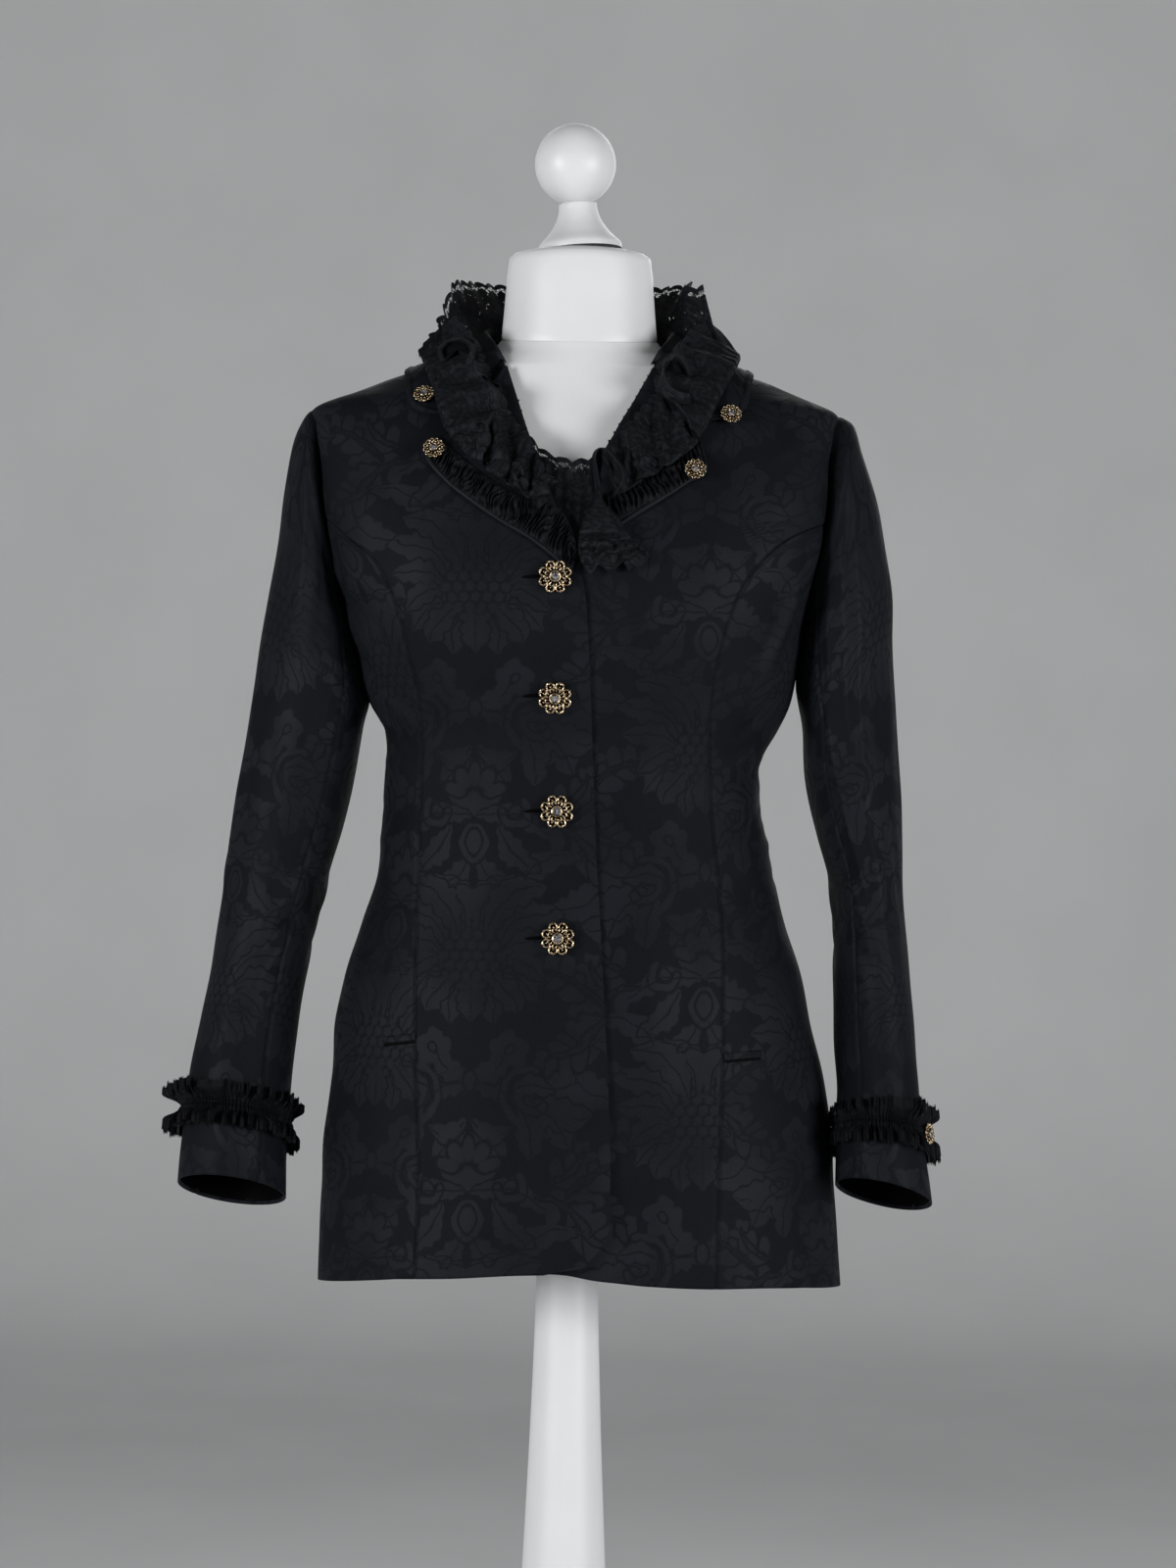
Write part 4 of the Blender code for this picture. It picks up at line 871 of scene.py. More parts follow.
def motif(x, y):
    """The three layers and the midribs of one column, x beside and y below its fruit."""
    layers = [np.full(x.shape, FAR) for _ in range(3)]
    rib = np.full(x.shape, FAR)
    for layer, *numbers in ACANTHUS:
        shape, line = leaf(x, y, *numbers)
        rib = np.where(shape < np.minimum(layers[layer], 0.5), line, rib)
        layers[layer] = np.minimum(layers[layer], shape)
    for rows, outline in ((ROUNDS, ellipse), (SCROLLS, scroll)):
        for layer, *numbers in rows:
            layers[layer] = np.minimum(layers[layer], outline(x, y, *numbers))
    # the fruit has a net of round cells
    fruit = ellipse(x, y, *FRUIT)
    one = np.hypot((x + CELL_X / 2) % CELL_X - CELL_X / 2, (y + CELL_Y) % (2 * CELL_Y) - CELL_Y)
    two = np.hypot(x % CELL_X - CELL_X / 2, y % (2 * CELL_Y) - CELL_Y)
    cells = np.minimum(one, two) - 3.7
    layers[2] = np.minimum(layers[2], np.maximum(fruit, cells))
    for layer in (0, 1):
        layers[layer] = np.maximum(layers[layer], 1.0 - fruit)
    return layers, rib


def woven(across, down):
    """The pattern's layers and midribs, in mm, at metres across and down on the cloth."""
    across, down = np.broadcast_arrays(across * 1000, down * 1000)
    found = [np.full(across.shape, FAR) for _ in range(4)]
    for column in (0, 1):
        x = across - column * REPEAT_ACROSS
        x = np.abs((x + REPEAT_ACROSS) % (2 * REPEAT_ACROSS) - REPEAT_ACROSS)
        level = (down - column * REPEAT_DOWN / 2 + MOTIF_TOP) % REPEAT_DOWN - MOTIF_TOP
        for y in (level, level + REPEAT_DOWN):
            there = y < MOTIF_FOOT
            plain_x, plain_y = x[there], y[there]
            # uneven outlines, but not on the axis or in the fruit
            warp = np.clip((plain_y**2 + plain_x**2) / 900, 0.25, 1) * np.clip(plain_x / 12, 0, 1)
            x_warp = np.sin(plain_y / 6.5 + 0.6) + 0.6 * np.sin(plain_y / 2.6)
            y_warp = np.sin(plain_x / 5.3 + 1.1) + 0.6 * np.sin(plain_x / 2.4)
            layers, rib = motif(np.abs(plain_x + warp * x_warp), plain_y + warp * y_warp)
            before = np.minimum.reduce([part[there] for part in found[:3]])
            nearer = np.minimum.reduce(layers) < before
            found[3][there] = np.where(nearer, rib, found[3][there])
            for part, layer in zip(found[:3], layers):
                part[there] = np.minimum(part[there], layer)
    return {"weave": np.stack(found[:3], axis=-1), "rib": found[3]}


# ---- meshes --------------------------------------------------------------------------------


def faces_out(grid, normals):
    """Whether a grid's faces point the way that its normals do."""
    row, column = grid.shape[0] // 2, grid.shape[1] // 2
    along = grid[row, column + 1] - grid[row, column]
    up = grid[row + 1, column] - grid[row, column]
    return np.dot(np.cross(along, up), np.broadcast_to(normals, grid.shape)[row, column]) > 0


def strip(grid, surface, layers=None, normals=None, around=False, flip=False):
    """A part of a piece: a sheet through a grid of points, with values on them."""
    if normals is not None:
        flip = not faces_out(grid, normals)
    rows, columns = grid.shape[:2]
    index = np.arange(rows * columns).reshape(rows, columns)
    if around:
        index = np.concatenate([index, index[:, :1]], axis=1)
    corners = [index[:-1, :-1], index[:-1, 1:], index[1:, 1:], index[1:, :-1]]
    faces = np.stack(corners, axis=-1).reshape(-1, 4)
    return {
        "points": grid.reshape(-1, 3),
        "faces": faces[:, ::-1] if flip else faces,
        "surface": surface,
        "layers": {
            name: np.reshape(found, (rows * columns, -1)) for name, found in (layers or {}).items()
        },
    }


def make(name, parts, nodes=None):
    """One object from parts, riding on the frame in place of its nodes, or of its namesake."""
    names = list(dict.fromkeys(part["surface"] for part in parts))
    faces, which, start = [], [], 0
    for part in parts:
        faces.extend((np.array(part["faces"]) + start).tolist())
        which.extend([names.index(part["surface"])] * len(part["faces"]))
        start += len(part["points"])
    mesh = bpy.data.meshes.new(name)
    mesh.from_pydata(np.concatenate([part["points"] for part in parts]).tolist(), [], faces)
    for surface in names:
        mesh.materials.append(MATERIALS[surface])
    mesh.polygons.foreach_set("material_index", which)
    mesh.polygons.foreach_set("use_smooth", [True] * len(faces))
    for layer, kind in (("weave", "FLOAT_VECTOR"), ("rib", "FLOAT"), ("lace", "FLOAT_VECTOR")):
        if not any(layer in part["layers"] for part in parts):
            continue
        wide = 1 if kind == "FLOAT" else 3
        found = [
            part["layers"].get(layer, np.full((len(part["points"]), wide), FAR)) for part in parts
        ]
        attribute = mesh.attributes.new(layer, kind, "POINT")
        values = np.concatenate(found).astype(np.float32).ravel()
        attribute.data.foreach_set("value" if wide == 1 else "vector", values)
    mesh.update()
    made = bpy.data.objects.new(f"{name}_look", mesh)
    bpy.context.scene.collection.objects.link(made)
    nodes = [name] if nodes is None else nodes
    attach(made, "root")
    if nodes:
        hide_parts(*nodes)
    return made


def lengths(lines):
    """Length from the start of each row of points to each of them."""
    steps = np.linalg.norm(np.diff(lines, axis=1), axis=2)
    return np.concatenate([np.zeros((len(lines), 1)), np.cumsum(steps, axis=1)], axis=1)


def lengths_down(grid):
    """Length from the first row of points to each row, column by column."""
    return lengths(grid.transpose(1, 0, 2)).T


def grid_normals(grid):
    """Normals of the surface through a grid of points."""
    return unit(np.cross(np.gradient(grid, axis=1), np.gradient(grid, axis=0)))


def refine(grid, by_rows, by_columns):
    """A finer grid on smooth curves through a coarse one."""
    for axis, times in ((0, by_rows), (1, by_columns)):
        lines = np.moveaxis(grid, axis, 0)
        values = np.linspace(0, len(lines) - 1.0, (len(lines) - 1) * times + 1)
        at = np.clip(np.floor(values).astype(int), 0, len(lines) - 2)
        slopes = np.gradient(lines, axis=0)
        share = (values - at)[:, None, None]
        lines = blend(lines[at], lines[at + 1], slopes[at], slopes[at + 1], share)
        grid = np.moveaxis(lines, 0, axis)
    return grid


# Distances from a seam, in metres, of the first columns beside it
BESIDE_SEAM = np.array((0, 0.4, 0.9, 1.5, 2.2, 3.2, 4.5)) / 1000
SEAM_DEPTH = 0.0011
# Turned-in cloth at an edge: distance in from it and depth, from the inside out
INSETS = np.array((0.012, 0.004, 0.0004, -0.0001))
DEPTHS = np.array((0.0021, 0.0019, 0.0017, 0.0008))
ROW_TURNS = (90, 140, 178, 2, 40, 270, 225, 315)  # where the spacing of rows is measured


def lay_out(widths, step):
    """Distances of the columns from the left border, for rows of these widths."""
    widths = np.asarray(widths)[:, None]
    edge = BESIDE_SEAM[-1]
    count = max(int(math.ceil((widths.max() - 2 * edge) / step)), 2)
    shares = np.linspace(0, 1, count + 1)[1:-1]
    left = BESIDE_SEAM * np.minimum(1, widths / (3 * edge))
    middle = left[:, -1:] + (widths - 2 * left[:, -1:]) * shares
    return np.concatenate([left, middle, widths - left[:, ::-1]], axis=1)


def dip(distance, depth=SEAM_DEPTH):
    """The groove along a seam, with a soft roll beside it."""
    return -depth * (1 - ease(distance, 0, 0.0024)) + 0.00012 * bell(distance - 0.0045, 0.0022)


def rows_between(low, high, step):
    """Heights between two, no further apart than a step anywhere on the figure."""
    fine = np.linspace(low, high, 1200)
    lines = np.stack([bare(turn, fine) for turn in ROW_TURNS])
    steps = np.linalg.norm(np.diff(lines, axis=1), axis=2).max(axis=0)
    total = np.concatenate([[0], np.cumsum(steps)])
    return np.interp(np.linspace(0, total[-1], int(total[-1] / step) + 1), total, fine)


# ---- body ----------------------------------------------------------------------------------

# x of the pattern's axis and height of a fruit on it, for each front and back
PATTERN = {
    "front_right": (-0.076, 1.23),
    "front_left": (0.103, 1.108),
    "back_right": (-0.052, 1.19),
    "back_left": (0.052, 1.19),
}
# and for the side panels: how far the axis lies off their middle, and the fruit's height
SIDE_AXIS = {"right": 0.031, "left": -0.024}
SIDE_FRUIT = {FRONT: 1.166, BACK: 1.226}


def overlap_lift(points):
    """How far the left front lies behind the right one, as a negative lift."""
    beyond = points[..., 0] - read(FRONT_EDGE, 1, points[..., 2])
    sink = OVERLAP_SINK + CORNER_SINK * (1 - ease(points[..., 2], HEM_HEIGHT, CORNER_TOP))
    return -sink * (1 - ease(beyond, OVERLAP_START, OVERLAP_START + OVERLAP_EASE))


def hem_dropped(grid):
    """The grid with the front hem let down, more on the left than on the right."""
    drop = read(HEM_DROP, 1, grid[..., 0]) * ease(-grid[..., 1], 0.0, 0.04)
    fade = 1 - ease(grid[..., 2], HEM_HEIGHT, HEM_DROP_TOP)
    return grid - np.stack([0 * drop, 0 * drop, drop * fade], axis=-1)


def make_half(side_name, facing):
    """A front or a back, from the outer seam, armhole and shoulder to its inner edge."""
    name = ("front_" if facing == FRONT else "back_") + side_name
    rows = rows_between(HEM_HEIGHT, NECK_EDGE, STEPS[facing])
    sinks = np.concatenate([DEPTHS, np.zeros(len(rows))])
    heights = np.concatenate([HEM_HEIGHT + INSETS, rows])
    start = outer_turn(side_name, facing, heights)
    stop = np.full(len(heights), BACK)
    if facing == FRONT:
        edge = read(FRONT_EDGE, 1 if side_name == "right" else 2, heights)
        stop = turn_at_x(edge, heights, FRONT)
    fine = np.linspace(0, 1, 121)
    length = lengths(bare(across_rows(start, stop, fine), heights[:, None]))
    columns = lay_out(length[:, -1], STEPS[facing])
    sink = np.zeros(columns.shape[1])
    if facing == FRONT:
        columns = np.concatenate([columns, length[:, -1:] - INSETS[::-1]], axis=1)
        sink = np.concatenate([sink, DEPTHS[::-1]])
    turns = across_rows(start, stop, interp_rows(columns, length, fine))
    base, normals = skin(turns, heights[:, None])
    lift = folds(base) + dip(columns)
    if facing == BACK:
        lift += dip(length[:, -1:] - columns)
    elif side_name == "left":
        lift += overlap_lift(base)
    lift -= np.maximum(sinks[:, None], sink)
    axis_x, fruit = PATTERN[name]
    axis_turn = turn_at_x(axis_x, heights, facing)
    axis_share = (axis_turn - start) / (stop - start)
    middle = [np.interp(share, fine, known) for share, known in zip(axis_share, length)]
    spine = bare(axis_turn, heights)
    down = lengths(spine[None])[0]
    down = np.interp(fruit, spine[len(INSETS) :, 2], down[len(INSETS) :]) - down
    layers = woven(columns - np.array(middle)[:, None], down[:, None])
    grid = hem_dropped(base + normals * lift[..., None])
    make(name, [strip(grid, "damask", layers, normals)])


def armhole_foot(side_name, facing, shares):
    """Heights at which a side panel meets the armhole, at these shares of its width."""
    low = np.full(len(shares), ARMHOLE_MIDDLE - ARMHOLE_HALF_HEIGHT)
    high = np.full(len(shares), JOINT_HEIGHT)
    for _ in range(30):
        middle = (low + high) / 2
        start = princess_turn(side_name, facing, middle)
        turn = start + (side_turn(side_name, facing) - start) * shares
        share = np.clip((middle - ARMHOLE_MIDDLE) / ARMHOLE_HALF_HEIGHT, -1, 1)
        out = np.abs(bare(turn, middle)[..., 1]) > ARMHOLE_HALF_DEPTH * np.sqrt(1 - share**2)
        low, high = np.where(out, middle, low), np.where(out, high, middle)
    return low


def make_side(side_name, facing):
    """A side panel: hem to armhole, between a princess seam and the side seam."""
    name = ("side_front_" if facing == FRONT else "side_back_") + side_name
    span = JOINT_HEIGHT - HEM_HEIGHT
    count = int(span / STEPS[facing])
    ups = np.concatenate([INSETS / span, np.linspace(0, 1, count)])
    sinks = np.concatenate([DEPTHS, np.zeros(count)])
    rough = HEM_HEIGHT + span * ups
    start, stop = princess_turn(side_name, facing, rough), side_turn(side_name, facing)
    fine = np.linspace(0, 1, 61)
    length = lengths(bare(across_rows(start, stop, fine), rough[:, None]))
    width = length[:, -1:]
    columns = lay_out(width[:, 0], STEPS[facing])
    shares = interp_rows(columns, length, fine)
    tops = np.interp(shares, fine, armhole_foot(side_name, facing, fine)) - 0.0004
    heights = HEM_HEIGHT + (tops - HEM_HEIGHT) * ups[:, None]
    start = princess_turn(side_name, facing, heights)
    base, normals = skin(start + (stop - start) * shares, heights)
    lift = folds(base) + dip(columns) + dip(width - columns) + dip(tops - heights)
    lift -= sinks[:, None]
    across = columns - width * 0.5 + SIDE_AXIS[side_name]
    layers = woven(across, SIDE_FRUIT[facing] - heights)
    grid = hem_dropped(base + normals * lift[..., None])
    make(name, [strip(grid, "damask", layers, normals)])


def make_body_lining():
    """One sheet inside all the panels, with the neckline's opening left open."""
    heights = rows_between(HEM_HEIGHT + 0.011, NECK_EDGE - 0.001, 0.008)
    base, normals = skin(np.linspace(0, 360, 121)[:-1], heights[:, None])
    deep = 0.0022 + 0.0028 * ease(heights, 0.705, 0.75) * (1 - ease(heights, 1.34, 1.375))
    under_lap = -overlap_lift(base) * ease(base[..., 0], -0.11, -0.06) * (base[..., 1] < 0)
    grid = base - normals * (deep[:, None] + under_lap - 0.5 * folds(base))[..., None]
    part = strip(grid, "lining", None, -normals, around=True)
    x, y, z = part["points"][part["faces"]].mean(axis=1).T
    open_here = (y < 0) & (x > read(FRONT_EDGE, 1, z)) & (x < read(FRONT_EDGE, 2, z)) & (z > 1.25)
    part["faces"] = part["faces"][~open_here]
    make("body_lining", [part], nodes=())


# ---- sleeves -------------------------------------------------------------------------------

# Sleeve panels: turns of both seams, spacing of the points, shift of the pattern around
SLEEVE_PANELS = {
    "upper_sleeve": (-40.0, 126.0, STEPS[FRONT], 0.0),
    "under_sleeve": (126.0, 320.0, STEPS[BACK], 0.07),
}
SLEEVE_AXIS = 43.0  # turn at which the pattern's axis runs down
SLEEVE_FRUIT = 0.115  # how far down from the shoulder a fruit lies on it
CUFF_RING = 0.042  # length between the last two rings
CUFF_INSET = 0.0035  # how far the cuff's edge is turned in


def sleeve_knot(side_name, at, turn):
    """A point of the armhole's edge, for 0, or of the sleeve ring before this number."""
    side = SIDES[side_name]
    sine, cosine = np.sin(np.radians(turn)), np.cos(np.radians(turn))
    height = ARMHOLE_MIDDLE + ARMHOLE_HALF_HEIGHT * cosine
    edge = bare(turn_at_y(ARMHOLE_HALF_DEPTH * sine, height, side), height)
    edge = edge + np.array((side * 0.0008, 0, 0))
    at = np.clip(at, 0, len(SLEEVES[side_name]))
    row = np.moveaxis(np.array(SLEEVES[side_name])[np.maximum(at - 1, 0)], -1, 0)
    outer_x, outer_z, inner_x, inner_z, middle_y, half, tilt = row
    lean = np.radians(tilt)
    x = side * ((outer_x + inner_x) / 2 + (outer_x - inner_x) / 2 * cosine)
    y = middle_y - np.cos(lean) * half * sine
    z = (outer_z + inner_z) / 2 + (outer_z - inner_z) / 2 * cosine + np.sin(lean) * half * sine
    return np.where((at == 0)[..., None], edge, np.stack([x, y, z], axis=-1))


def sleeve_bare(side_name, place, turn):
    """Points of a sleeve without folds. Place -1 is the armhole, 0 the first ring, 15 the cuff."""
    place, turn = np.broadcast_arrays(np.asarray(place, float), np.asarray(turn, float))
    last = len(SLEEVES[side_name])
    at = np.clip(np.floor(place + 1), 0, last - 1).astype(int)
    before, low, high, after = (sleeve_knot(side_name, at + step, turn) for step in (-1, 0, 1, 2))
    low_slope = np.where((at == 0)[..., None], high - low, (high - before) / 2)
    high_slope = np.where((at == last - 1)[..., None], high - low, (after - low) / 2)
    return blend(low, high, low_slope, high_slope, (place + 1 - at)[..., None])


def sleeve_normals(side_name, place, turn):
    """Normals of a sleeve, away from its middle."""
    along = sleeve_bare(side_name, place + 0.05, turn) - sleeve_bare(side_name, place - 0.05, turn)
    across = sleeve_bare(side_name, place, turn + 2) - sleeve_bare(side_name, place, turn - 2)
    return unit(np.cross(across, along)) * SIDES[side_name]


def sleeve_point(side_name, place, turn, lift):
    """Points over a sleeve without folds, and their normals."""
    place, turn = np.asarray(place, float), np.asarray(turn, float)
    normals = sleeve_normals(side_name, place, turn)
    return sleeve_bare(side_name, place, turn) + normals * np.asarray(lift)[..., None], normals


def sleeve_flat(side_name, place, turn):
    """Where a point of the sleeve lies on the flat cloth: around and down, in metres."""
    outer_x, outer_z, inner_x, inner_z, _, depth, _ = np.array(SLEEVES[side_name]).T
    keys = np.arange(len(depth), dtype=float)
    ring = np.maximum(place, 0)
    width = curve(keys, (outer_x - inner_x) / 2, ring)
    fall = curve(keys, np.abs(outer_z - inner_z) / 2, ring)
    radius = (np.hypot(width, fall) + curve(keys, depth, ring)) / 2
    middle = np.stack([(outer_x + inner_x) / 2, (outer_z + inner_z) / 2], axis=1)
    down = np.concatenate([[-0.012], lengths(middle[None])[0]])
    down = np.interp(place, np.concatenate([[-1], keys]), down)
    return np.radians(turn - SLEEVE_AXIS) * radius, down


def sleeve_folds(side_name, place, turn):
    """How far the folds lift points of a sleeve."""
    around, down = sleeve_flat(side_name, place, turn)
    total = np.zeros(np.shape(around))
    for turn0, place0, turn1, place1, half, height in SLEEVE_FOLDS[side_name]:
        start = sleeve_flat(side_name, float(place0), float(turn0))
        stop = sleeve_flat(side_name, float(place1), float(turn1))
        along, across, long = along_line(around, down, *start, *stop)
        along = np.clip(along, 0, 1)
        across = across + 0.05 * long * np.sin(2.4 * along + place0)
        total += height * np.sin(np.pi * along) ** 0.7 * bell(across, half)
    soft = 0.0012 * np.sin(np.radians(turn) * 3 + down * 9)
    soft = soft * ease(place, 0.5, 3) * (1 - ease(place, 12, 15))
    return total + soft + 0.0004 * ripple(around * 80, down * 60, 3.0)


def make_sleeve(side_name):
    """Upper and under sleeve, and the lining that shows in the cuff."""
    last = len(SLEEVES[side_name]) - 1
    fine = np.linspace(-1.1, last, 900)
    lines = np.stack([sleeve_bare(side_name, fine, turn) for turn in (0.0, 90.0, 180.0, 270.0)])
    total = lengths(lines).max(axis=0)
    count = int(total[-1] / STEPS[FRONT]) + 1
    rows = np.interp(np.linspace(0, total[-1], count), total, fine)
    sinks = np.concatenate([np.zeros(count), DEPTHS[::-1]])
    tucked = last - np.minimum(INSETS[::-1], CUFF_INSET) / CUFF_RING
    rows = np.concatenate([rows, tucked])[:, None]
    for name, (start, stop, step, shift) in SLEEVE_PANELS.items():
        shares = np.linspace(0, 1, 101)
        length = lengths(sleeve_bare(side_name, rows, start + (stop - start) * shares))
        columns = lay_out(length[:, -1], step)
        turn = start + (stop - start) * interp_rows(columns, length, shares)
        place = np.broadcast_to(rows, turn.shape)
        lift = sleeve_folds(side_name, place, turn)
        lift += dip(columns) + dip(length[:, -1:] - columns) + dip((place + 1) * 0.014, 0.0016)
        lift -= sinks[:, None]
        grid, normals = sleeve_point(side_name, place, turn, lift)
        around, down = sleeve_flat(side_name, place, turn)
        layers = woven(around - shift, down - SLEEVE_FRUIT)
        make(f"{name}_{side_name}", [strip(grid, "damask", layers, normals)])
    turns = np.linspace(0, 360, 73)[:-1]
    place, turn = np.meshgrid(np.linspace(-0.9, last - 0.05, 80), turns, indexing="ij")
    deep = 0.0022 + 0.0022 * ease(place, -0.5, 0.5) * (1 - ease(place, last - 1.2, last - 0.5))
    grid, normals = sleeve_point(side_name, place, turn, -deep)
    part = strip(grid, "lining", None, -normals, around=True)
    make(f"sleeve_lining_{side_name}", [part], nodes=())


# ---- collar and lapels ---------------------------------------------------------------------

COLLAR_LIFT = 0.0039
COLLAR_BULGE = 0.002
STAND_REACH = 3.4  # row of the table up to which the collar stands on the neck edge
# Between the collar's foot and its roll: inward and up from the roll
COLLAR_INSIDE = ((0.006, -0.006), (0.004, -0.0005), (0.0014, 0.0012))
COLLAR_FALL = (0.04, 0.12, 0.24, 0.36, 0.48, 0.6, 0.72, 0.84, 0.94, 1.0)
# Columns once the rows are refined: where the fall begins, its middle and the outer edge
COLLAR_OUTSIDE, COLLAR_SPINE, COLLAR_EDGE = 30, 45, -11
# Section of a lapel: distance out from the roll or in from the outer edge, and lift
LAPEL_ROLL = np.array(
    (
        (0.003, 0.0006), (0.0004, 0.0007), (-0.0006, 0.0016), (-0.0004, 0.0028),
        (0.0006, 0.0036), (0.002, 0.0042), (0.004, 0.0045), (0.007, 0.0044),
    )
)
LAPEL_RIM = np.array(
    (
        (0.0068, 0.003), (0.006, 0.0031), (0.0053, 0.0026), (0.0047, 0.0026),
        (0.004, 0.0034), (0.0026, 0.0039), (0.0012, 0.0036), (0.0003, 0.0028),
        (0.0, 0.0018), (0.0006, 0.0009), (0.004, 0.0006),
    )
)
# Ruched bands: distance between the gathers, and how far they wander
RUCHES = {"right": (0.0036, 0.0034), "left": (0.0045, 0.0014)}


def collar_lines(places):
    """The roll and the outer edge, at rows of the table counted from the centre back."""
    side = np.where(places < 0, -1.0, 1.0)
    roll_x, roll_y, roll_z, edge_x, edge_y, edge_z = read_row(COLLAR, np.abs(places))
    roll = np.stack([side * roll_x, roll_y, roll_z], axis=-1)
    return roll, np.stack([side * edge_x, edge_y, edge_z], axis=-1)


def make_collar():
    """Stand, roll and fall in one, from the neck edge to the outer edge."""
    last = len(COLLAR) - 1
    places = np.linspace(-last, last, 121)
    roll, edge = collar_lines(places)
    inward, outwards, up = unit(-roll * (1, 1, 0)), unit(edge - roll), np.array((0, 0, 1.0))
    turn = np.degrees(np.arctan2(-roll[:, 1], roll[:, 0])) % 360
    foot = bare(turn, NECK_EDGE) + (0, 0, 0.001)
    under = roll + inward * 0.0055 - up * 0.012
    stand = 1 - ease(np.abs(places), STAND_REACH - 0.6, STAND_REACH + 0.4)[:, None]
    foot = foot * stand + under * (1 - stand)
    lines = [foot, foot * 0.5 + (roll + inward * 0.006 - up * 0.007) * 0.5]
    lines += [roll + inward * deep + up * high for deep, high in COLLAR_INSIDE]
    for share in COLLAR_FALL:
        point = roll + (edge - roll) * share
        point[:, 2] += COLLAR_BULGE * math.sin(math.pi * min(share * 1.4, 1))
        lines.append(kept_clear(point, COLLAR_LIFT))
    lines.append(lines[-1] + outwards * 0.0003 - up * 0.0009)
    lines.append(kept_clear(lines[-2] - outwards * 0.004, 0.0012) - up * 0.0016)
    grid = refine(np.stack(lines, axis=1), 2, 5)
    normals = grid_normals(grid)
    if (normals * (grid - grid.mean(axis=(0, 1))))[:, COLLAR_OUTSIDE:].sum() < 0:
        normals = -normals
    fall = lengths(grid)
    from_edge = np.abs(fall - fall[:, COLLAR_EDGE, None])
    lift = 0.0007 * bell(from_edge - 0.0026, 0.0018) - 0.0006 * bell(from_edge - 0.0056, 0.0008)
    lift += 0.0005 * ripple(grid[..., 0] * 70, grid[..., 1] * 70, 2.0)
    grid = grid + normals * lift[..., None]
    spine = lengths_down(grid[:, COLLAR_SPINE, None])
    layers = woven(spine - spine[len(spine) // 2], fall - 0.04)
    part = strip(grid, "damask", layers, normals)
    make("collar", [part], ["collar", "collar_stand"])


def between_lines(rows, places, shares):
    """x and height on the front between the two lines of a table."""
    inner_x, inner_z, outer_x, outer_z = read_row(rows, places)
    return across_rows(inner_x, outer_x, shares), across_rows(inner_z, outer_z, shares)


def make_lapel(side_name):
    """A lapel from its roll to its piped outer edge."""
    rows = LAPELS[side_name]
    places = np.linspace(0, len(rows) - 1, 110)
    inner_x, inner_z, outer_x, outer_z = read_row(rows, places)
    width = np.maximum(np.hypot(outer_x - inner_x, outer_z - inner_z), 0.002)[:, None]
    squeeze = np.minimum(1, width / 0.018)
    start, end = LAPEL_ROLL[:, 0] * squeeze, width - LAPEL_RIM[:, 0] * squeeze
    shares = np.linspace(0, 1, 22)[1:-1]
    middle = start[:, -1:] + (end[:, :1] - start[:, -1:]) * shares
    distance = np.concatenate([start, middle, end], axis=1)
    lifts = np.concatenate([LAPEL_ROLL[:, 1], 0.0044 - 0.0014 * shares, LAPEL_RIM[:, 1]])
    x, z = between_lines(rows, places, distance / width)
    tip = squeeze**0.5
    lift = lifts * tip + 0.0012 * (1 - tip) + 0.0004 * ripple(x * 120, z * 120, 5.0)
    grid, normals = front_points(x, z, lift)
    layers = woven(distance - 0.03 * SIDES[side_name], lengths_down(grid[:, 8:9]))
    cloth = strip(grid, "damask", layers, normals)
    columns = grid.shape[1]
    piped = np.arange(len(cloth["faces"])) % (columns - 1) >= columns - len(LAPEL_RIM)
    piping = dict(cloth, faces=cloth["faces"][piped], surface="satin", layers={})
    cloth["faces"] = cloth["faces"][~piped]
    make(f"lapel_{side_name}", [cloth, piping])


def make_band(side_name):
    """Tightly gathered strip between the flounce and the lapel's piping."""
    rows = BANDS[side_name]
    pitch, loose = RUCHES[side_name]
    shares = np.linspace(0, 1, 21)
    x, z = between_lines(rows, np.linspace(0, len(rows) - 1, 420), shares)
    along = lengths_down(front_points(x, z)[0])[:, 10:11]
    warp = loose * ripple(along * 230, shares * 4.2, 1.0) + 0.0012 * np.sin(shares * 5 + along * 90)
    wave = 1 - 2 * arches(along + warp, pitch) + 0.7 * ripple(along * 700, shares * 9, 4.0)
    swell = np.sin(np.pi * np.clip(shares, 0.02, 0.98)) ** 0.6
    grid, normals = front_points(x, z, 0.0044 + 0.0016 * swell + 0.0021 * wave * swell)
    make(f"ruched_band_{side_name}", [strip(grid, "crepe", None, normals)])


# ---- lace ----------------------------------------------------------------------------------

FLOUNCE_WAVE = 0.031  # between the deep waves of a flounce's upper ply
FLOUNCE_PLEAT = 0.0092  # between the pleats where it is sewn on
FLOUNCE_TUCK = 0.0115  # between the points of the upper ply's lower end
FLOUNCE_FULLNESS = 1.25  # how much the gathered lace is stretched out for its drawing
FLOUNCE_SCALLOP = 0.0125
SETTLING_PASSES = 6
# Outer slope of a curl, from its foot to the rim: shares of its width and of its height
CURL_SLOPE = (
    (-1.0, 0.06), (-0.8, 0.22), (-0.6, 0.44), (-0.4, 0.66), (-0.2, 0.86), (-0.06, 0.98), (0.0, 1.0)
)
# Inner wall of a curl, from the rim to its foot: distance in, share of the height
CURL_WALL = ((0.0006, 0.97), (0.0014, 0.7), (0.0018, 0.4))
CURL_RIM = len(CURL_SLOPE) - 1
SHADE_FLOOR_SHARES = np.linspace(0, 1, 8) ** 1.5  # columns of a curl's floor, a dark sheet of painted shade, towards its middle
TOWARDS_EYE = (0.0, -1.0, 0.2)


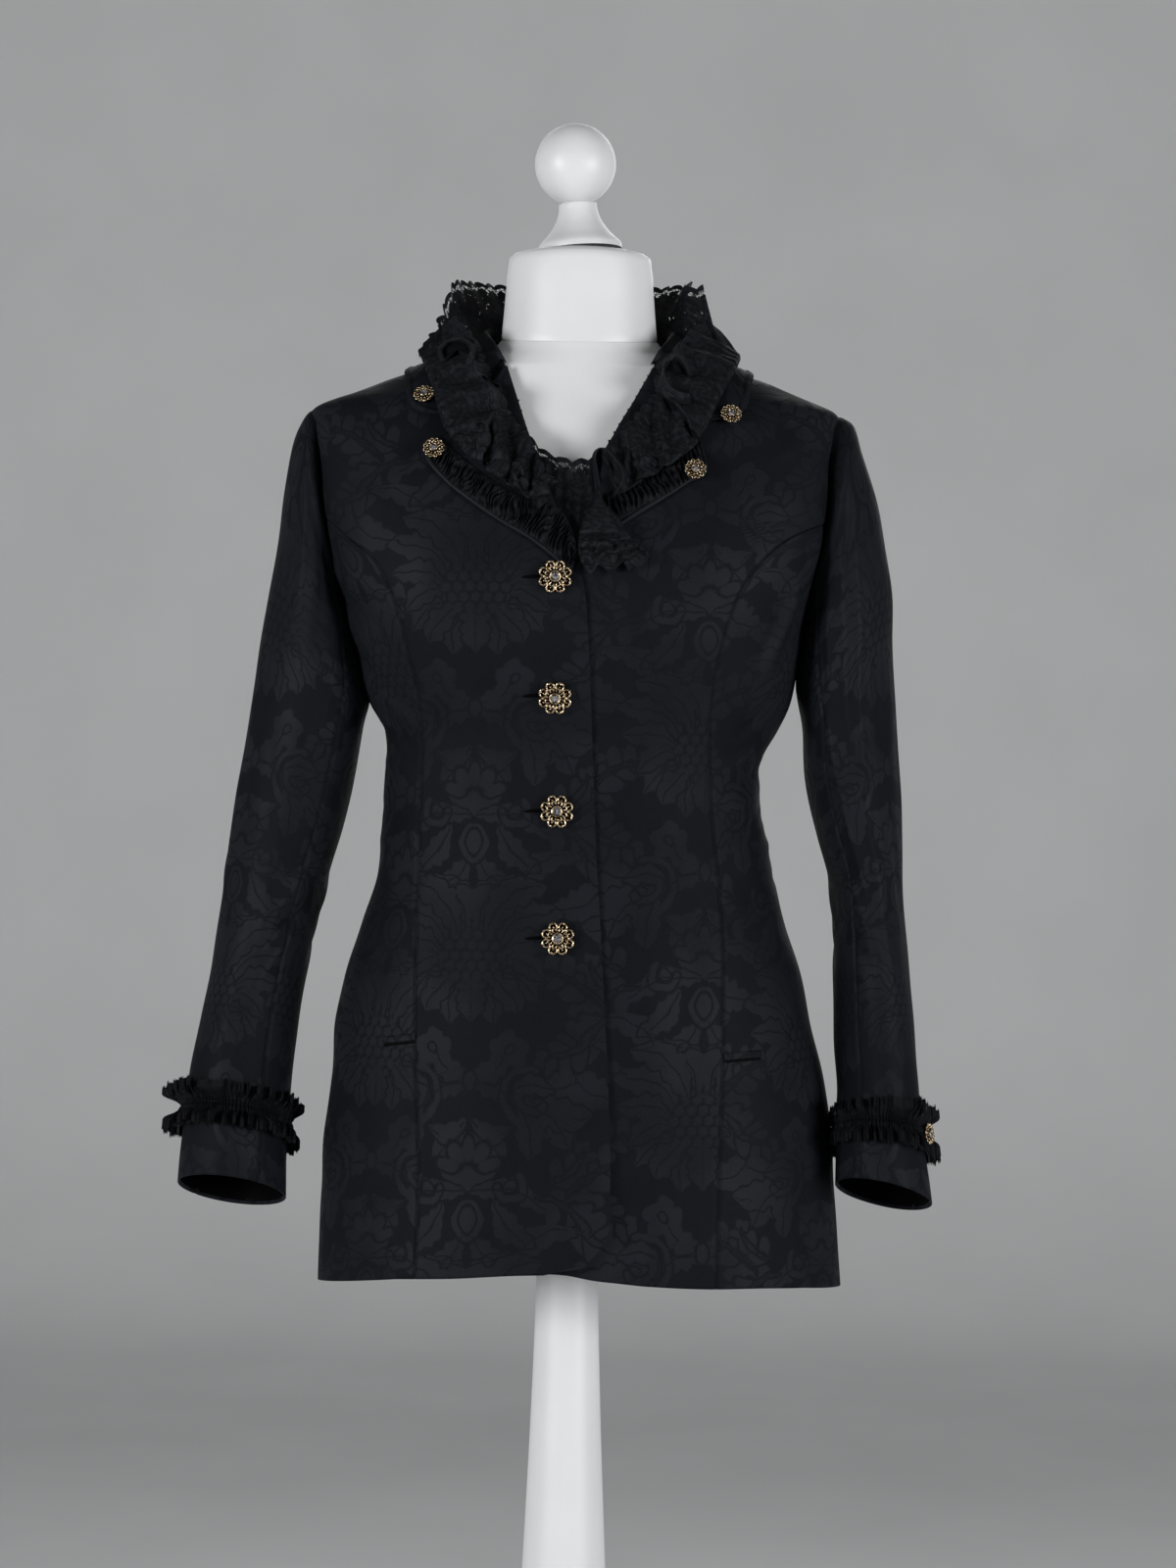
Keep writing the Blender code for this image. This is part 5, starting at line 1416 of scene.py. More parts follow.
def lace_layer(along, edge, kind=0):
    """For the lace's finish: metres along it and from its edge, in mm, and its kind.

    Kind 1 stands free and has holes, kind 2 is tulle.
    """
    along, edge, kind = np.broadcast_arrays(along * 1000, edge * 1000, kind)
    return {"lace": np.stack([along, edge, kind], axis=-1)}


def surface_tree(names):
    """What lace is laid on: the faces of these pieces of the frame."""
    points, faces = [], []
    for name in names:
        mesh = bpy.data.objects[name].data
        start = len(points)
        points.extend(vertex.co[:] for vertex in mesh.vertices)
        faces.extend([start + index for index in face.vertices] for face in mesh.polygons)
    return BVHTree.FromPolygons(points, faces)


def settled(grid, tree, clearance):
    """The grid moved out until it clears what is under it, and smoothed like cloth that bridges."""
    grid = grid.copy()
    for step in range(SETTLING_PASSES):
        if step:
            grid[1:-1] = (grid[:-2] + 2 * grid[1:-1] + grid[2:]) / 4
            grid[:, 1:-1] = (grid[:, :-2] + 2 * grid[:, 1:-1] + grid[:, 2:]) / 4
        for at in np.ndindex(clearance.shape):
            point = Vector(grid[at])
            found, normal, _, _ = tree.find_nearest(point)
            short = clearance[at] - (point - found).dot(normal)
            if short > 0:
                grid[at] = point + normal * short
    return grid


def make_flounce(side_name, tree):
    """Gathered lace: sewn beside the band, its scalloped edge lying towards the neck."""
    rows = FLOUNCES[side_name]
    values = read_row(rows, np.linspace(0, len(rows) - 1, 90))
    sewn, free = np.stack(values[:3], axis=-1), np.stack(values[3:], axis=-1)
    share = np.linspace(0, 1, 9)
    base = kept_clear(across_rows(sewn, free, share[:, None]), 0.0045)
    clearance = np.broadcast_to(0.0012 + 0.002 * share, base.shape[:2])
    base = refine(settled(base, tree, clearance), 7, 5)
    normals = grid_normals(base)
    if (normals * (base - (0, 0.02, 1.25))).sum() < 0:
        normals = -normals
    spine, down = lengths_down(base)[:, :1], lengths(base)
    share = np.linspace(0, 1, base.shape[1])
    place = np.linspace(0, len(rows) - 1, len(spine))[:, None]
    reach = np.interp(place, *np.transpose(UPPER_PLY[side_name]))
    reach = reach + 0.03 * arches(spine, FLOUNCE_TUCK, 1) * ease(1 - reach, -0.05, 0.05)
    within = reach - share
    wave = 2 * np.pi * spine / FLOUNCE_WAVE + SIDES[side_name]
    high = 0.0088 + 0.0024 * np.sin(wave - 2.2 * share) * ease(share, 0.0, 0.5)
    high = high + 0.0026 * bell(within, 0.07)
    high = high + 0.0007 * np.sin(2 * np.pi * spine / FLOUNCE_PLEAT + 3 * share) * (1 - share)
    low = 0.0014 + 0.0009 * ripple(base[..., 0] * 260, base[..., 2] * 110, 3.0)
    for x, wide, tall in LOWER_FOLDS[side_name]:
        swerve = 0.0025 * np.sin(base[..., 2] * 90 + x * 300)
        low = low + 1.35 * tall * bell(base[..., 0] - x - swerve, wide)
    low = low + 0.002 * (1 - ease(share, 0.0, 0.12))
    lift = low + (high - low) * ease(within, -0.035, 0.03)
    lift = lift * ease(share, -0.12, 0.1) + 0.0004 * ripple(spine * 300, share * 11, 6.0)
    slide = 0.0016 * np.cos(wave) * share
    along = spine * FLOUNCE_FULLNESS
    scallop = 0.003 * arches(along, FLOUNCE_SCALLOP) * share**8
    grid = base + normals * lift[..., None] + unit(np.gradient(base, axis=0)) * slide[..., None]
    grid = grid + unit(np.gradient(base, axis=1)) * scallop[..., None]
    width = down[:, -1:]
    lower_edge = (1 - share) * width + 0.008
    from_edge = np.where(within > -0.01, np.maximum(within, 0.0) * width, lower_edge)
    from_edge = np.where(reach > 1.0, width - down, from_edge)
    parts = [strip(grid, "lace", lace_layer(along, from_edge), normals)]
    over = BVHTree.FromPolygons(parts[0]["points"].tolist(), parts[0]["faces"].tolist())
    if side_name == "left":
        parts.append(tail_part())
    for rim, slope, tall in CURLS[side_name]:
        parts.extend(curl_parts((over, tree), np.array(rim), slope, tall))
    make(f"lace_frill_{side_name}", parts)


def seen_at(trees, x, z):
    """The foremost y of what lies at these x and heights, or of the figure."""
    y = front_points(x, z, -0.001)[0][..., 1]
    for at, place in enumerate(zip(x, z)):
        for tree in trees:
            found, _, _, _ = tree.ray_cast(Vector((place[0], -0.5, place[1])), Vector((0, 1, 0)))
            y[at] = y[at] if found is None else min(y[at], found.y)
    return y


def curl_parts(trees, rim, slope, tall):
    """A turned-up piece of the edge about a hollow: slope outside, rim, wall inside, and a dark
    sheet on the hollow's floor that is painted shade.
    """
    fine = np.linspace(0, len(rim) - 1, 150)
    line = np.stack([np.interp(fine, np.arange(len(rim)), values) for values in rim.T], axis=-1)
    for _ in range(60):
        line[1:-1] = (line[:-2] + 2 * line[1:-1] + line[2:]) / 4
    ahead = unit(np.gradient(line, axis=0))
    outside = np.stack([ahead[:, 1], -ahead[:, 0]], axis=-1)
    if ((line - line.mean(axis=0)) * outside).sum() < 0:
        outside = -outside
    shape = [(at * slope, high**1.6 * tall) for at, high in CURL_SLOPE]
    shape += [(at, tall * high) for at, high in CURL_WALL] + [(0.002, 0.0002)]
    ends = ease(np.minimum(fine, fine[-1] - fine), 0.0, 0.9)
    rows = []
    for at, high in shape:
        x, z = (line - outside * at).T
        y = seen_at(trees, x, z)
        for _ in range(12):
            y[1:-1] = np.minimum(y[1:-1], (y[:-2] + y[2:]) / 2)
        wave = 1 + 0.12 * np.sin(fine * 4.1) * (at < 0.001)
        y = y - 0.0012 - high * wave * (0.25 + 0.75 * ends)
        rows.append(np.stack([x, y, z + 0.25 * high * ends], axis=-1))
    grid = np.stack(rows, axis=1)
    across, along = lengths(grid), lengths_down(grid)[:, CURL_RIM, None] * 1.15
    from_edge = np.abs(across - across[:, CURL_RIM, None])
    flip = not faces_out(grid[:, : CURL_RIM + 1], TOWARDS_EYE)
    shown = strip(grid, "lace", lace_layer(along, from_edge), flip=flip)
    # The floor is a dark crepe sheet laid over what lies behind: painted shade inside the hollow.
    foot = grid[:, -1]
    floor = foot[:, None] + (foot.mean(axis=0) - foot)[:, None] * SHADE_FLOOR_SHARES[:, None]
    for column in range(floor.shape[1]):
        behind = seen_at(trees, floor[:, column, 0], floor[:, column, 2])
        floor[:, column, 1] = np.minimum(floor[:, column, 1], behind - 0.0006)
    hollow = lace_layer(along, np.linspace(0.009, 0.024, floor.shape[1]))
    return [shown, strip(floor, "crepe", hollow, TOWARDS_EYE)]


def tail_part():
    """The crumpled end of the left flounce, over the foot of the neckline."""
    places, shares = np.linspace(0, len(TAIL) - 1, 170), np.linspace(0, 1, 70)
    x, z = between_lines(TAIL, places, shares)
    along = places[:, None] / (len(TAIL) - 1)
    cone = np.sqrt(np.clip(1 - (2 * shares - 1) ** 2, 0, 1))
    closed = 1 - ease(along, 0.5, 0.66)
    crumple = ripple(x * 420 + 9 * along, z * 420, 2.0) * ease(along, 0.5, 0.7)
    gathers = np.sin(shares * 34 + 5 * along) * ease(along, 0.5, 0.66) * (1 - 0.4 * along)
    lift = 0.0075 + 0.008 * cone * (0.35 + 0.65 * closed) + 0.0024 * crumple + 0.0014 * gathers
    lift = lift - 0.003 * bell(along - 0.6, 0.035) - 0.0025 * ease(along, 0.8, 1.0)
    lift = lift + 0.0024 * bell(shares - 0.8, 0.07) * ease(along, 0.3, 0.7)
    drop = 0.0022 * np.sin(shares * 15) * along**4
    drop = drop + 0.0022 * np.abs(np.sin(shares * 12)) * along**6
    grid, normals = front_points(x, z - drop, lift)
    width = lengths(grid)
    from_edge = np.minimum(width[:, -1:] - width + 0.0015, (1.02 - along) * 0.06)
    return strip(grid, "lace", lace_layer(lengths_down(grid) * 1.5, from_edge), normals)


def make_inset():
    """The lace that closes the foot of the neckline, scalloped along its top."""
    heights = np.linspace(INSET[0][0] - 0.012, INSET[-1][0], 60)
    right, left = read(INSET, 1, heights), read(INSET, 2, heights)
    up = np.linspace(0, 1, 60)[:, None]
    x = across_rows(right, left, np.linspace(0, 1, 61))
    z = heights[:, None] - (0.0035 - 0.0032 * arches(x + 0.004, 0.013, 0.8)) * up**6
    z = z + 0.015 * bell(x + 0.04, 0.012) * up**2
    z = z - 0.0045 * bell(x + 0.002, 0.015) * up**2
    fold = 0.0022 * bell(x - 0.021, 0.0024) + 0.0006 * np.sin(x * 700) * up
    grid, normals = front_points(x, z, -0.002 + fold + 0.0004 * ripple(x * 200, z * 200))
    part = strip(grid, "lace", lace_layer(x, z[-1:] - z, 1), normals)
    make("lace_inset", [part])


def make_nape_frill():
    """Lace that stands about the nape and comes down over the collar at both ends."""
    values = read_row(NAPE_FRILL, np.linspace(0, len(NAPE_FRILL) - 1, 560))
    foot, bend, top = (np.stack(values[at : at + 3], axis=-1) for at in (0, 3, 6))
    coarse = np.stack([foot, bend, bend * 0.62 + top * 0.38, bend * 0.25 + top * 0.75, top], axis=1)
    base = refine(coarse, 1, 8)
    share = np.linspace(0, 1, base.shape[1])
    spine, around = lengths_down(base[:, -1:]), lengths_down(base)
    away = unit(top * (1, 1, 0))[:, None]
    lift = 0.0015 * ease(share, 0.15, 1.0) * np.sin(2 * np.pi * spine / 0.021 - share)
    lift = lift * (0.8 + 0.3 * np.sin(spine * 43))
    edge = ease(share, 0.72, 1.0)
    rise = 0.0036 * arches(spine, 0.012) * edge - 0.0034 * edge
    grid = base + away * lift[..., None] + unit(base[:, -1:] - base[:, -6:-5]) * rise[..., None]
    down = lengths(grid)
    layers = lace_layer(around - around[len(around) // 2], down[:, -1:] - down, 1)
    make("lace_nape_frill", [strip(grid, "lace", layers, -away)])


# Cuff frills: how many rings they reach, up or down, and how far they flare
CUFF_FRILLS = {"upper": (-0.42, 0.0085), "lower": (0.43, 0.008)}
CUFF_ROWS = (0, 0.02, 0.06, 0.11, 0.16, 0.2, 0.26, 0.33, 0.41, 0.5, 0.6, 0.7, 0.8, 0.9, 1.0)
CUFF_GIRTH = 0.34  # length of the cuff's edge
CUFF_FULLNESS = 2.2


def make_cuff_frill(side_name, name):
    """One row of frill round a cuff, gathered where both rows meet."""
    reach, flare = CUFF_FRILLS[name]
    sign = -1 if name == "upper" else 1
    turns = np.linspace(0, 360, 561)[:-1]
    share, turn = np.meshgrid(np.array(CUFF_ROWS), turns, indexing="ij")
    angle = np.radians(turn)
    from_button = (turn - CUFF_BUTTONS[side_name][0] + 180) % 360 - 180
    free = (0.9 if side_name == "right" else 0.55) + 0.4 * ease(np.cos(angle), -1.0, -0.3)
    free = free * (1 - 0.55 * bell(from_button, 13.0))
    loose = ease(share, 0.07, 0.6)
    uneven = 0.65 + 0.55 * np.sin(4.3 * angle + 1.0 + sign) * np.cos(9.1 * angle)
    phase = 36 * angle + 3.0 * np.sin(3 * angle + sign) + 2.0 * np.sin(7 * angle)
    tight = np.sin(110 * angle + 3 * np.sin(9 * angle)) * (1 - loose)
    lift = 0.0018 + 0.0011 * tight + 0.0014 * bell(share - 0.14, 0.09)
    stand = flare * (0.8 + 0.2 * np.sin(5 * angle + 2)) + 0.0042 * uneven * np.sin(phase)
    lift = lift + loose * free * (stand + 0.0012 * np.sin(2.3 * phase + 1))
    turn = turn + loose * free * 2.6 * np.cos(phase + 0.5)
    place = CUFF_GATHER[side_name] + sign * 0.004 + reach * share
    place = place + loose * 0.03 * sign * np.sin(phase * 0.5 + 1)
    grid, normals = sleeve_point(side_name, place, turn, np.maximum(lift, 0.0012))
    around, from_edge = turn / 360 * CUFF_GIRTH * CUFF_FULLNESS, (1 - share) * CUFF_RING
    lace = lace_layer(around, from_edge * abs(reach), 2)
    part = strip(grid, "tulle", lace, normals, around=True)
    make(f"cuff_frill_{name}_{side_name}", [part])


# Section of a pocket's welt: share of the way up and lift
WELT = np.array(
    (
        (-0.5, 0.0003), (-0.48, 0.001), (-0.4, 0.0012), (-0.2, 0.0012), (0.0, 0.0011),
        (0.2, 0.0009), (0.4, 0.0007), (0.48, 0.0004), (0.5, 0.0001),
    )
)


def make_pocket(side_name):
    """A welt over a slit that is painted dark as its shade."""
    front_x, front_z, side_x, side_z = POCKETS[side_name]
    shares = np.linspace(0, 1, 30)
    ups, lifts = WELT[:, :1], WELT[:, 1:]
    x = front_x + (side_x - front_x) * shares + 0 * ups
    z = front_z + 0.004 + (side_z - front_z) * shares + 0.0055 * ups
    ends = np.clip(np.minimum(shares, 1 - shares) * 14, 0, 1) ** 0.5
    grid, normals = front_points(x, z, lifts * ends + 0.0001)
    parts = [strip(grid, "damask", woven(x - 0.02, 1.2 - z), normals)]
    # The slit is a strip of black lining laid flat on the front: painted shade in the pocket's
    # opening, over dark cloth.
    z = front_z + (side_z - front_z) * shares + 0.0011 * np.linspace(-1, 1, 5)[:, None] * ends
    grid, normals = front_points(x[:5], z, 0.0004)
    parts.append(strip(grid, "lining", None, normals))
    make(f"pocket_welt_{side_name}", parts)


# ---- buttons -------------------------------------------------------------------------------

TIP = 0.00001  # radius of a ring that stands for a point
DISH_MIDDLE = 0.26  # height of the dish's middle, as a share of the button's radius
STONE_SEAT = 0.46  # and of the wall that holds the stone
# Both kinds of button. All but the radius, the number of curls and angles are shares of the
# radius. Curls: way out, size, half the opening, height, thickness, points, sides. Beads:
# curls further round, way out, size, height.
BUTTON_KINDS = {
    "large": {
        "radius": 0.013,
        "loops": 8,
        "curls": ((0.735, 0.235, 168, 0.34, 0.052, 18, 8), (0.5, 0.1175, 140, 0.42, 0.044, 12, 8)),
        "beads": ((0.5, 0.66, 0.075, 0.36), (0, 0.93, 0.075, 0.37), (0, 0.72, 0.05, 0.34)),
        "bezel": 0.3,
        "rim": 0.6,
        "stone": 0.26,
    },
    "small": {
        "radius": 0.0086,
        "loops": 12,
        "curls": ((0.8, 0.15, 150, 0.34, 0.055, 12, 6),),
        "beads": ((0, 0.56, 0.085, 0.38),),
        "bezel": 0.34,
        "rim": 0.68,
        "stone": 0.3,
    },
}


def around_axis(sides):
    """Angles round a closed ring."""
    return np.linspace(0, 2 * np.pi, sides + 1)[:-1]


def tube(path, radius, closed=False, sides=8):
    """A round golden bar along points, thinner at open ends."""
    width = np.full(len(path), radius)
    if closed:
        along = np.roll(path, -1, axis=0) - np.roll(path, 1, axis=0)
    else:
        along = np.gradient(path, axis=0)
        width[[0, -1]] *= 0.35
    along = unit(along)
    side = unit(np.cross(along, (0.0, 0.0, 1.0)))
    up = np.cross(side, along)
    angles = around_axis(sides)[:, None]
    ring = side[:, None] * np.cos(angles) + up[:, None] * np.sin(angles)
    grid = path[:, None] + ring * width[:, None, None]
    if closed:
        grid = np.concatenate([grid, grid[:1]])
    return strip(grid, "gold", around=True, flip=True)


def turned(profile, sides, surface="shell", middle=(0, 0)):
    """A surface turned about Z from radii and heights, going up."""
    radii, heights = np.hsplit(np.array(profile, float), 2)
    angles = around_axis(sides)
    x, y = middle[0] + radii * np.cos(angles), middle[1] + radii * np.sin(angles)
    return strip(np.stack([x, y, heights + 0 * x], axis=-1), surface, around=True)


def arc(cx, cy, radius, start, stop, height, steps):
    """Level points from one angle to another."""
    angles = np.radians(np.linspace(start, stop, steps))
    x, y = cx + radius * np.cos(angles), cy + radius * np.sin(angles)
    return np.stack([x, y, height + 0 * angles], axis=-1)


def bead(cx, cy, radius, height):
    """A small golden ball."""
    angles = np.linspace(-0.5 * np.pi, 0.5 * np.pi, 7)
    profile = [(max(radius * math.cos(a), TIP), height + radius * math.sin(a)) for a in angles]
    return turned(profile, 10, "gold", (cx, cy))


def button_parts(kind):
    """Gold curls and beads about a bezel, over a dark dish."""
    radius, loops = kind["radius"], kind["loops"]
    dish = np.array(((0.3, 0.0), (0.3, 0.14), (0.88, 0.16), (0.82, 0.22))) * radius
    # The dish is near black: patina, and painted shade for the dark seen through the gaps between
    # the curls.
    parts = [turned(dish[:3], 32, "patina_and_shade")]
    parts.append(turned([*dish[2:], (0.0001, radius * DISH_MIDDLE)], 32, "patina_and_shade"))
    for index in range(loops):
        angle = 2 * math.pi * (index + 0.5) / loops
        turn = math.degrees(angle)
        for out, size, half, height, thick, steps, sides in kind["curls"]:
            cx, cy = out * radius * math.cos(angle), out * radius * math.sin(angle)
            path = arc(cx, cy, size * radius, turn - half, turn + half, height * radius, steps)
            parts.append(tube(path, thick * radius, sides=sides))
        for further, out, size, height in kind["beads"]:
            at = angle + further * 2 * math.pi / loops
            cx, cy = out * radius * math.cos(at), out * radius * math.sin(at)
            parts.append(bead(cx, cy, size * radius, height * radius))
    ring = arc(0, 0, kind["bezel"] * radius, 0, 360, 0.48 * radius, 33)[:-1]
    parts.append(tube(ring, 0.055 * radius, closed=True))
    ring = arc(0, 0, kind["rim"] * radius, 0, 360, 0.24 * radius, 41)[:-1]
    parts.append(tube(ring, 0.035 * radius, closed=True, sides=6))
    wall = [(0.29 * radius, height * radius) for height in (DISH_MIDDLE, STONE_SEAT)]
    return [*parts, turned(wall, 24, "gold")]


def cut_stone(radius, height):
    """A ten-sided stone with a flat facet on each side of its crown."""
    profile = [(radius, height - 0.0004), (radius, height)]
    profile += [(radius * 0.62, height + radius * 0.42), (TIP, height + radius * 0.46)]
    return turned(profile, 10, "stone")


def make_button(name, point, facing, kind_name):
    """A button and its stone at a point, facing this way."""
    kind = BUTTON_KINDS[kind_name]
    facing = unit(np.asarray(facing))
    side = unit(np.cross((0.0, 0.0, 1.0), facing))
    axes = np.stack([side, np.cross(facing, side), facing])
    parts = button_parts(kind)
    stone = cut_stone(kind["radius"] * kind["stone"], kind["radius"] * STONE_SEAT)
    for part in (*parts, stone):
        part["points"] = part["points"] @ axes + point
    make(f"button_{name}", parts)
    gem = make(f"stone_{name}", [stone])
    for polygon in gem.data.polygons:
        polygon.use_smooth = False


def make_buttons():
    """Four on the front, two on the collar, two on the lapels, one on each cuff."""
    front = {f"front_{at}": (*found, 0.0) for at, found in enumerate(FRONT_BUTTONS, start=1)}
    for places, kind_name in ((front, "large"), (COLLAR_BUTTONS, "small")):
        for name, (x, height, lift) in places.items():
            point, normal = skin(turn_at_x(x, height, FRONT), height)
            make_button(name, point + normal * (lift + 0.0006), normal, kind_name)
    for side_name, (turn, place, lift) in CUFF_BUTTONS.items():
        point, normal = sleeve_point(side_name, place, turn, lift)
        facing = normal + (0, -0.25 if side_name == "left" else 0, 0)
        make_button(f"cuff_{side_name}", point, facing, "small")


# Section of a buttonhole's worked edges: share of the way up and lift
HOLE = np.array(
    (
        (-1.0, 0.0002), (-0.7, 0.001), (-0.35, 0.0012), (0.0, 0.0003),
        (0.35, 0.0012), (0.7, 0.001), (1.0, 0.0002),
    )
)


def make_buttonholes():
    """Worked slits beside the large buttons."""
    parts = []
    run = np.linspace(0, 1, 24)
    ups, lifts = HOLE[:, :1], HOLE[:, 1:]
    lens = np.sin(np.pi * np.clip(run, 0.03, 0.97)) ** 0.35
    lift = lifts * lens + 0.00012 * np.sin(run * 160) * (np.abs(ups) > 0.3)
    for x, height in FRONT_BUTTONS:
        z = height + 0.0014 * ups * lens + 0.001 * run
        grid, normals = front_points(x - 0.025 + 0.017 * run, z, lift + 0.0004)
        parts.append(strip(grid, "lining", None, normals))
    make("buttonhole_edges", parts, nodes=())


# ---- dress form and stand ------------------------------------------------------------------

FORM_TURNS = np.linspace(0, 360, 109)[:-1]
FORM_ROUND = 0.008  # how far the torso's lower edge is rounded
FORM_ROUND_HEIGHTS = (0.8, 0.8006, 0.802, 0.8045, 0.808)
# Rings of the neck cap: height, and how much smaller they are than the table says
CAP_RINGS = (
    (1.4427, 0.0008), (1.4434, 0.0003), (1.4446, 0), (1.45, 0), (1.46, 0), (1.4725, 0),
    (1.485, 0), (1.495, 0), (1.504, 0), (1.5085, 0.0004), (1.5115, 0.0016), (1.5135, 0.0045),
    (1.5148, 0.0085), (1.515, 0.013),
)


def neck_ring(height, half_width, front, back, tilt):
    """A ring of the neck, tilted so that it rises towards the back."""
    cosine, sine = np.cos(np.radians(FORM_TURNS)), np.sin(np.radians(FORM_TURNS))
    y = -np.where(sine >= 0, front, back) * sine
    return np.stack([half_width * cosine, y, height + tilt * y], axis=-1)


def shell(rings):
    """White skin round rings that go up."""
    return strip(rings, "shell", around=True, flip=True)


def drawn_in(ring, share):
    """A ring drawn in towards its own middle."""
    return ring * (1 - share) + ring.mean(axis=1, keepdims=True) * share


def make_white(name, *parts):
    """A piece of the dress form or the stand."""
    make(name, parts)


def make_torso():
    """The form's body, up to the seam of its neck, with a closed lower end."""
    heights = np.concatenate([FORM_ROUND_HEIGHTS, np.linspace(0.812, 1.38, 90)])
    heights = np.concatenate([heights, rows_between(1.385, 1.42, 0.004)])
    edge = np.minimum((heights - FORM_FOOT) / FORM_ROUND, 1) ** 0.9
    inset = read(FORM_INSET, 1, heights) + FORM_ROUND * np.sqrt(np.maximum(1 - edge, 0))
    base, normals = skin(FORM_TURNS, heights[:, None])
    points = base - normals * inset[:, None, None]
    level = (heights < HEM_RISE_TOP)[:, None]
    points[..., 2] = np.where(level, heights[:, None], points[..., 2])
    rings = [
        neck_ring(*row, NECK_TILT * float(ease(row[0], NECK_FOOT, NECK_SEAM))) for row in NECK
    ]
    grid = np.concatenate([points, np.stack(rings)])
    foot = grid[:1]
    under = shell(np.concatenate([drawn_in(foot, 1), drawn_in(foot, 0.1), foot]))
    make_white("form_torso", shell(grid), under)


def make_neck_cap():
    """The form's neck, with a flat lid that has a rounded edge."""
    rings = []
    for height, less in CAP_RINGS:
        tilt = NECK_TILT * (1 - float(ease(height, NECK_SEAM, CAP[-2][0])))
        width, depth = read(CAP, 1, height) - less, read(CAP, 2, height) - less
        rings.append(neck_ring(height, width, depth - NECK_MIDDLE, depth + NECK_MIDDLE, tilt))
    top = np.stack(rings[-1:])
    lid = shell(np.concatenate([top, drawn_in(top, 0.5), drawn_in(top, 1)]))
    make_white("form_neck_cap", shell(np.stack(rings)), lid)


def make_finial():
    """A ball on a flared foot, leaning a little."""
    heights, radii = np.transpose(FINIAL)
    profile = [(np.interp(h, heights, radii), h) for h in (0, 0.001, 0.0035)]
    profile += [(read(FINIAL, 1, h), h) for h in np.linspace(0.0045, heights[-1], 18)]
    start = math.acos((BALL_MIDDLE - heights[-1]) / BALL_RADIUS)
    for angle in np.linspace(start, math.pi, 40):
        across = max(BALL_RADIUS * math.sin(angle), TIP)
        profile.append((across, BALL_MIDDLE - BALL_RADIUS * math.cos(angle)))
    finial = turned(profile, 72)
    lean = np.array(Matrix.Rotation(-FINIAL_LEAN, 3, "Y"))
    seat = CAP[-1][0] + radii[0] * math.sin(FINIAL_LEAN) + SEAT_GAP
    finial["points"] = finial["points"] @ lean.T + (0, NECK_MIDDLE, seat)
    make_white("form_finial", finial)


def make_stand():
    """The column and its round plate."""
    heights = np.linspace(COLUMN[0][0], COLUMN[-1][0], 34)
    make_white("stand_column", turned([(read(COLUMN, 1, h), h) for h in heights], 96))
    rim = [(TIP, 0.0), (0.12, 0.0), (PLATE_RADIUS - 0.002, 0.0), (PLATE_RADIUS - 0.0006, 0.0006)]
    rim += [(PLATE_RADIUS, 0.002)]
    for angle in np.radians(np.linspace(0, 90, 9)):
        x, z = PLATE_RADIUS - PLATE_ROUND, PLATE_HEIGHT - PLATE_ROUND
        rim.append((x + PLATE_ROUND * math.cos(angle), z + PLATE_ROUND * math.sin(angle)))
    rim += [(0.15, PLATE_HEIGHT), (0.1, PLATE_HEIGHT), (TIP, PLATE_HEIGHT)]
    make_white("stand_plate", turned(rim, 144))


# ---- finishes ------------------------------------------------------------------------------

INPUTS = {
    "colour": "Base Color",
    "rough": "Roughness",
    "specular": "Specular IOR Level",
    "metal": "Metallic",
    "alpha": "Alpha",
    "normal": "Normal",
    "coat": "Coat Weight",
}


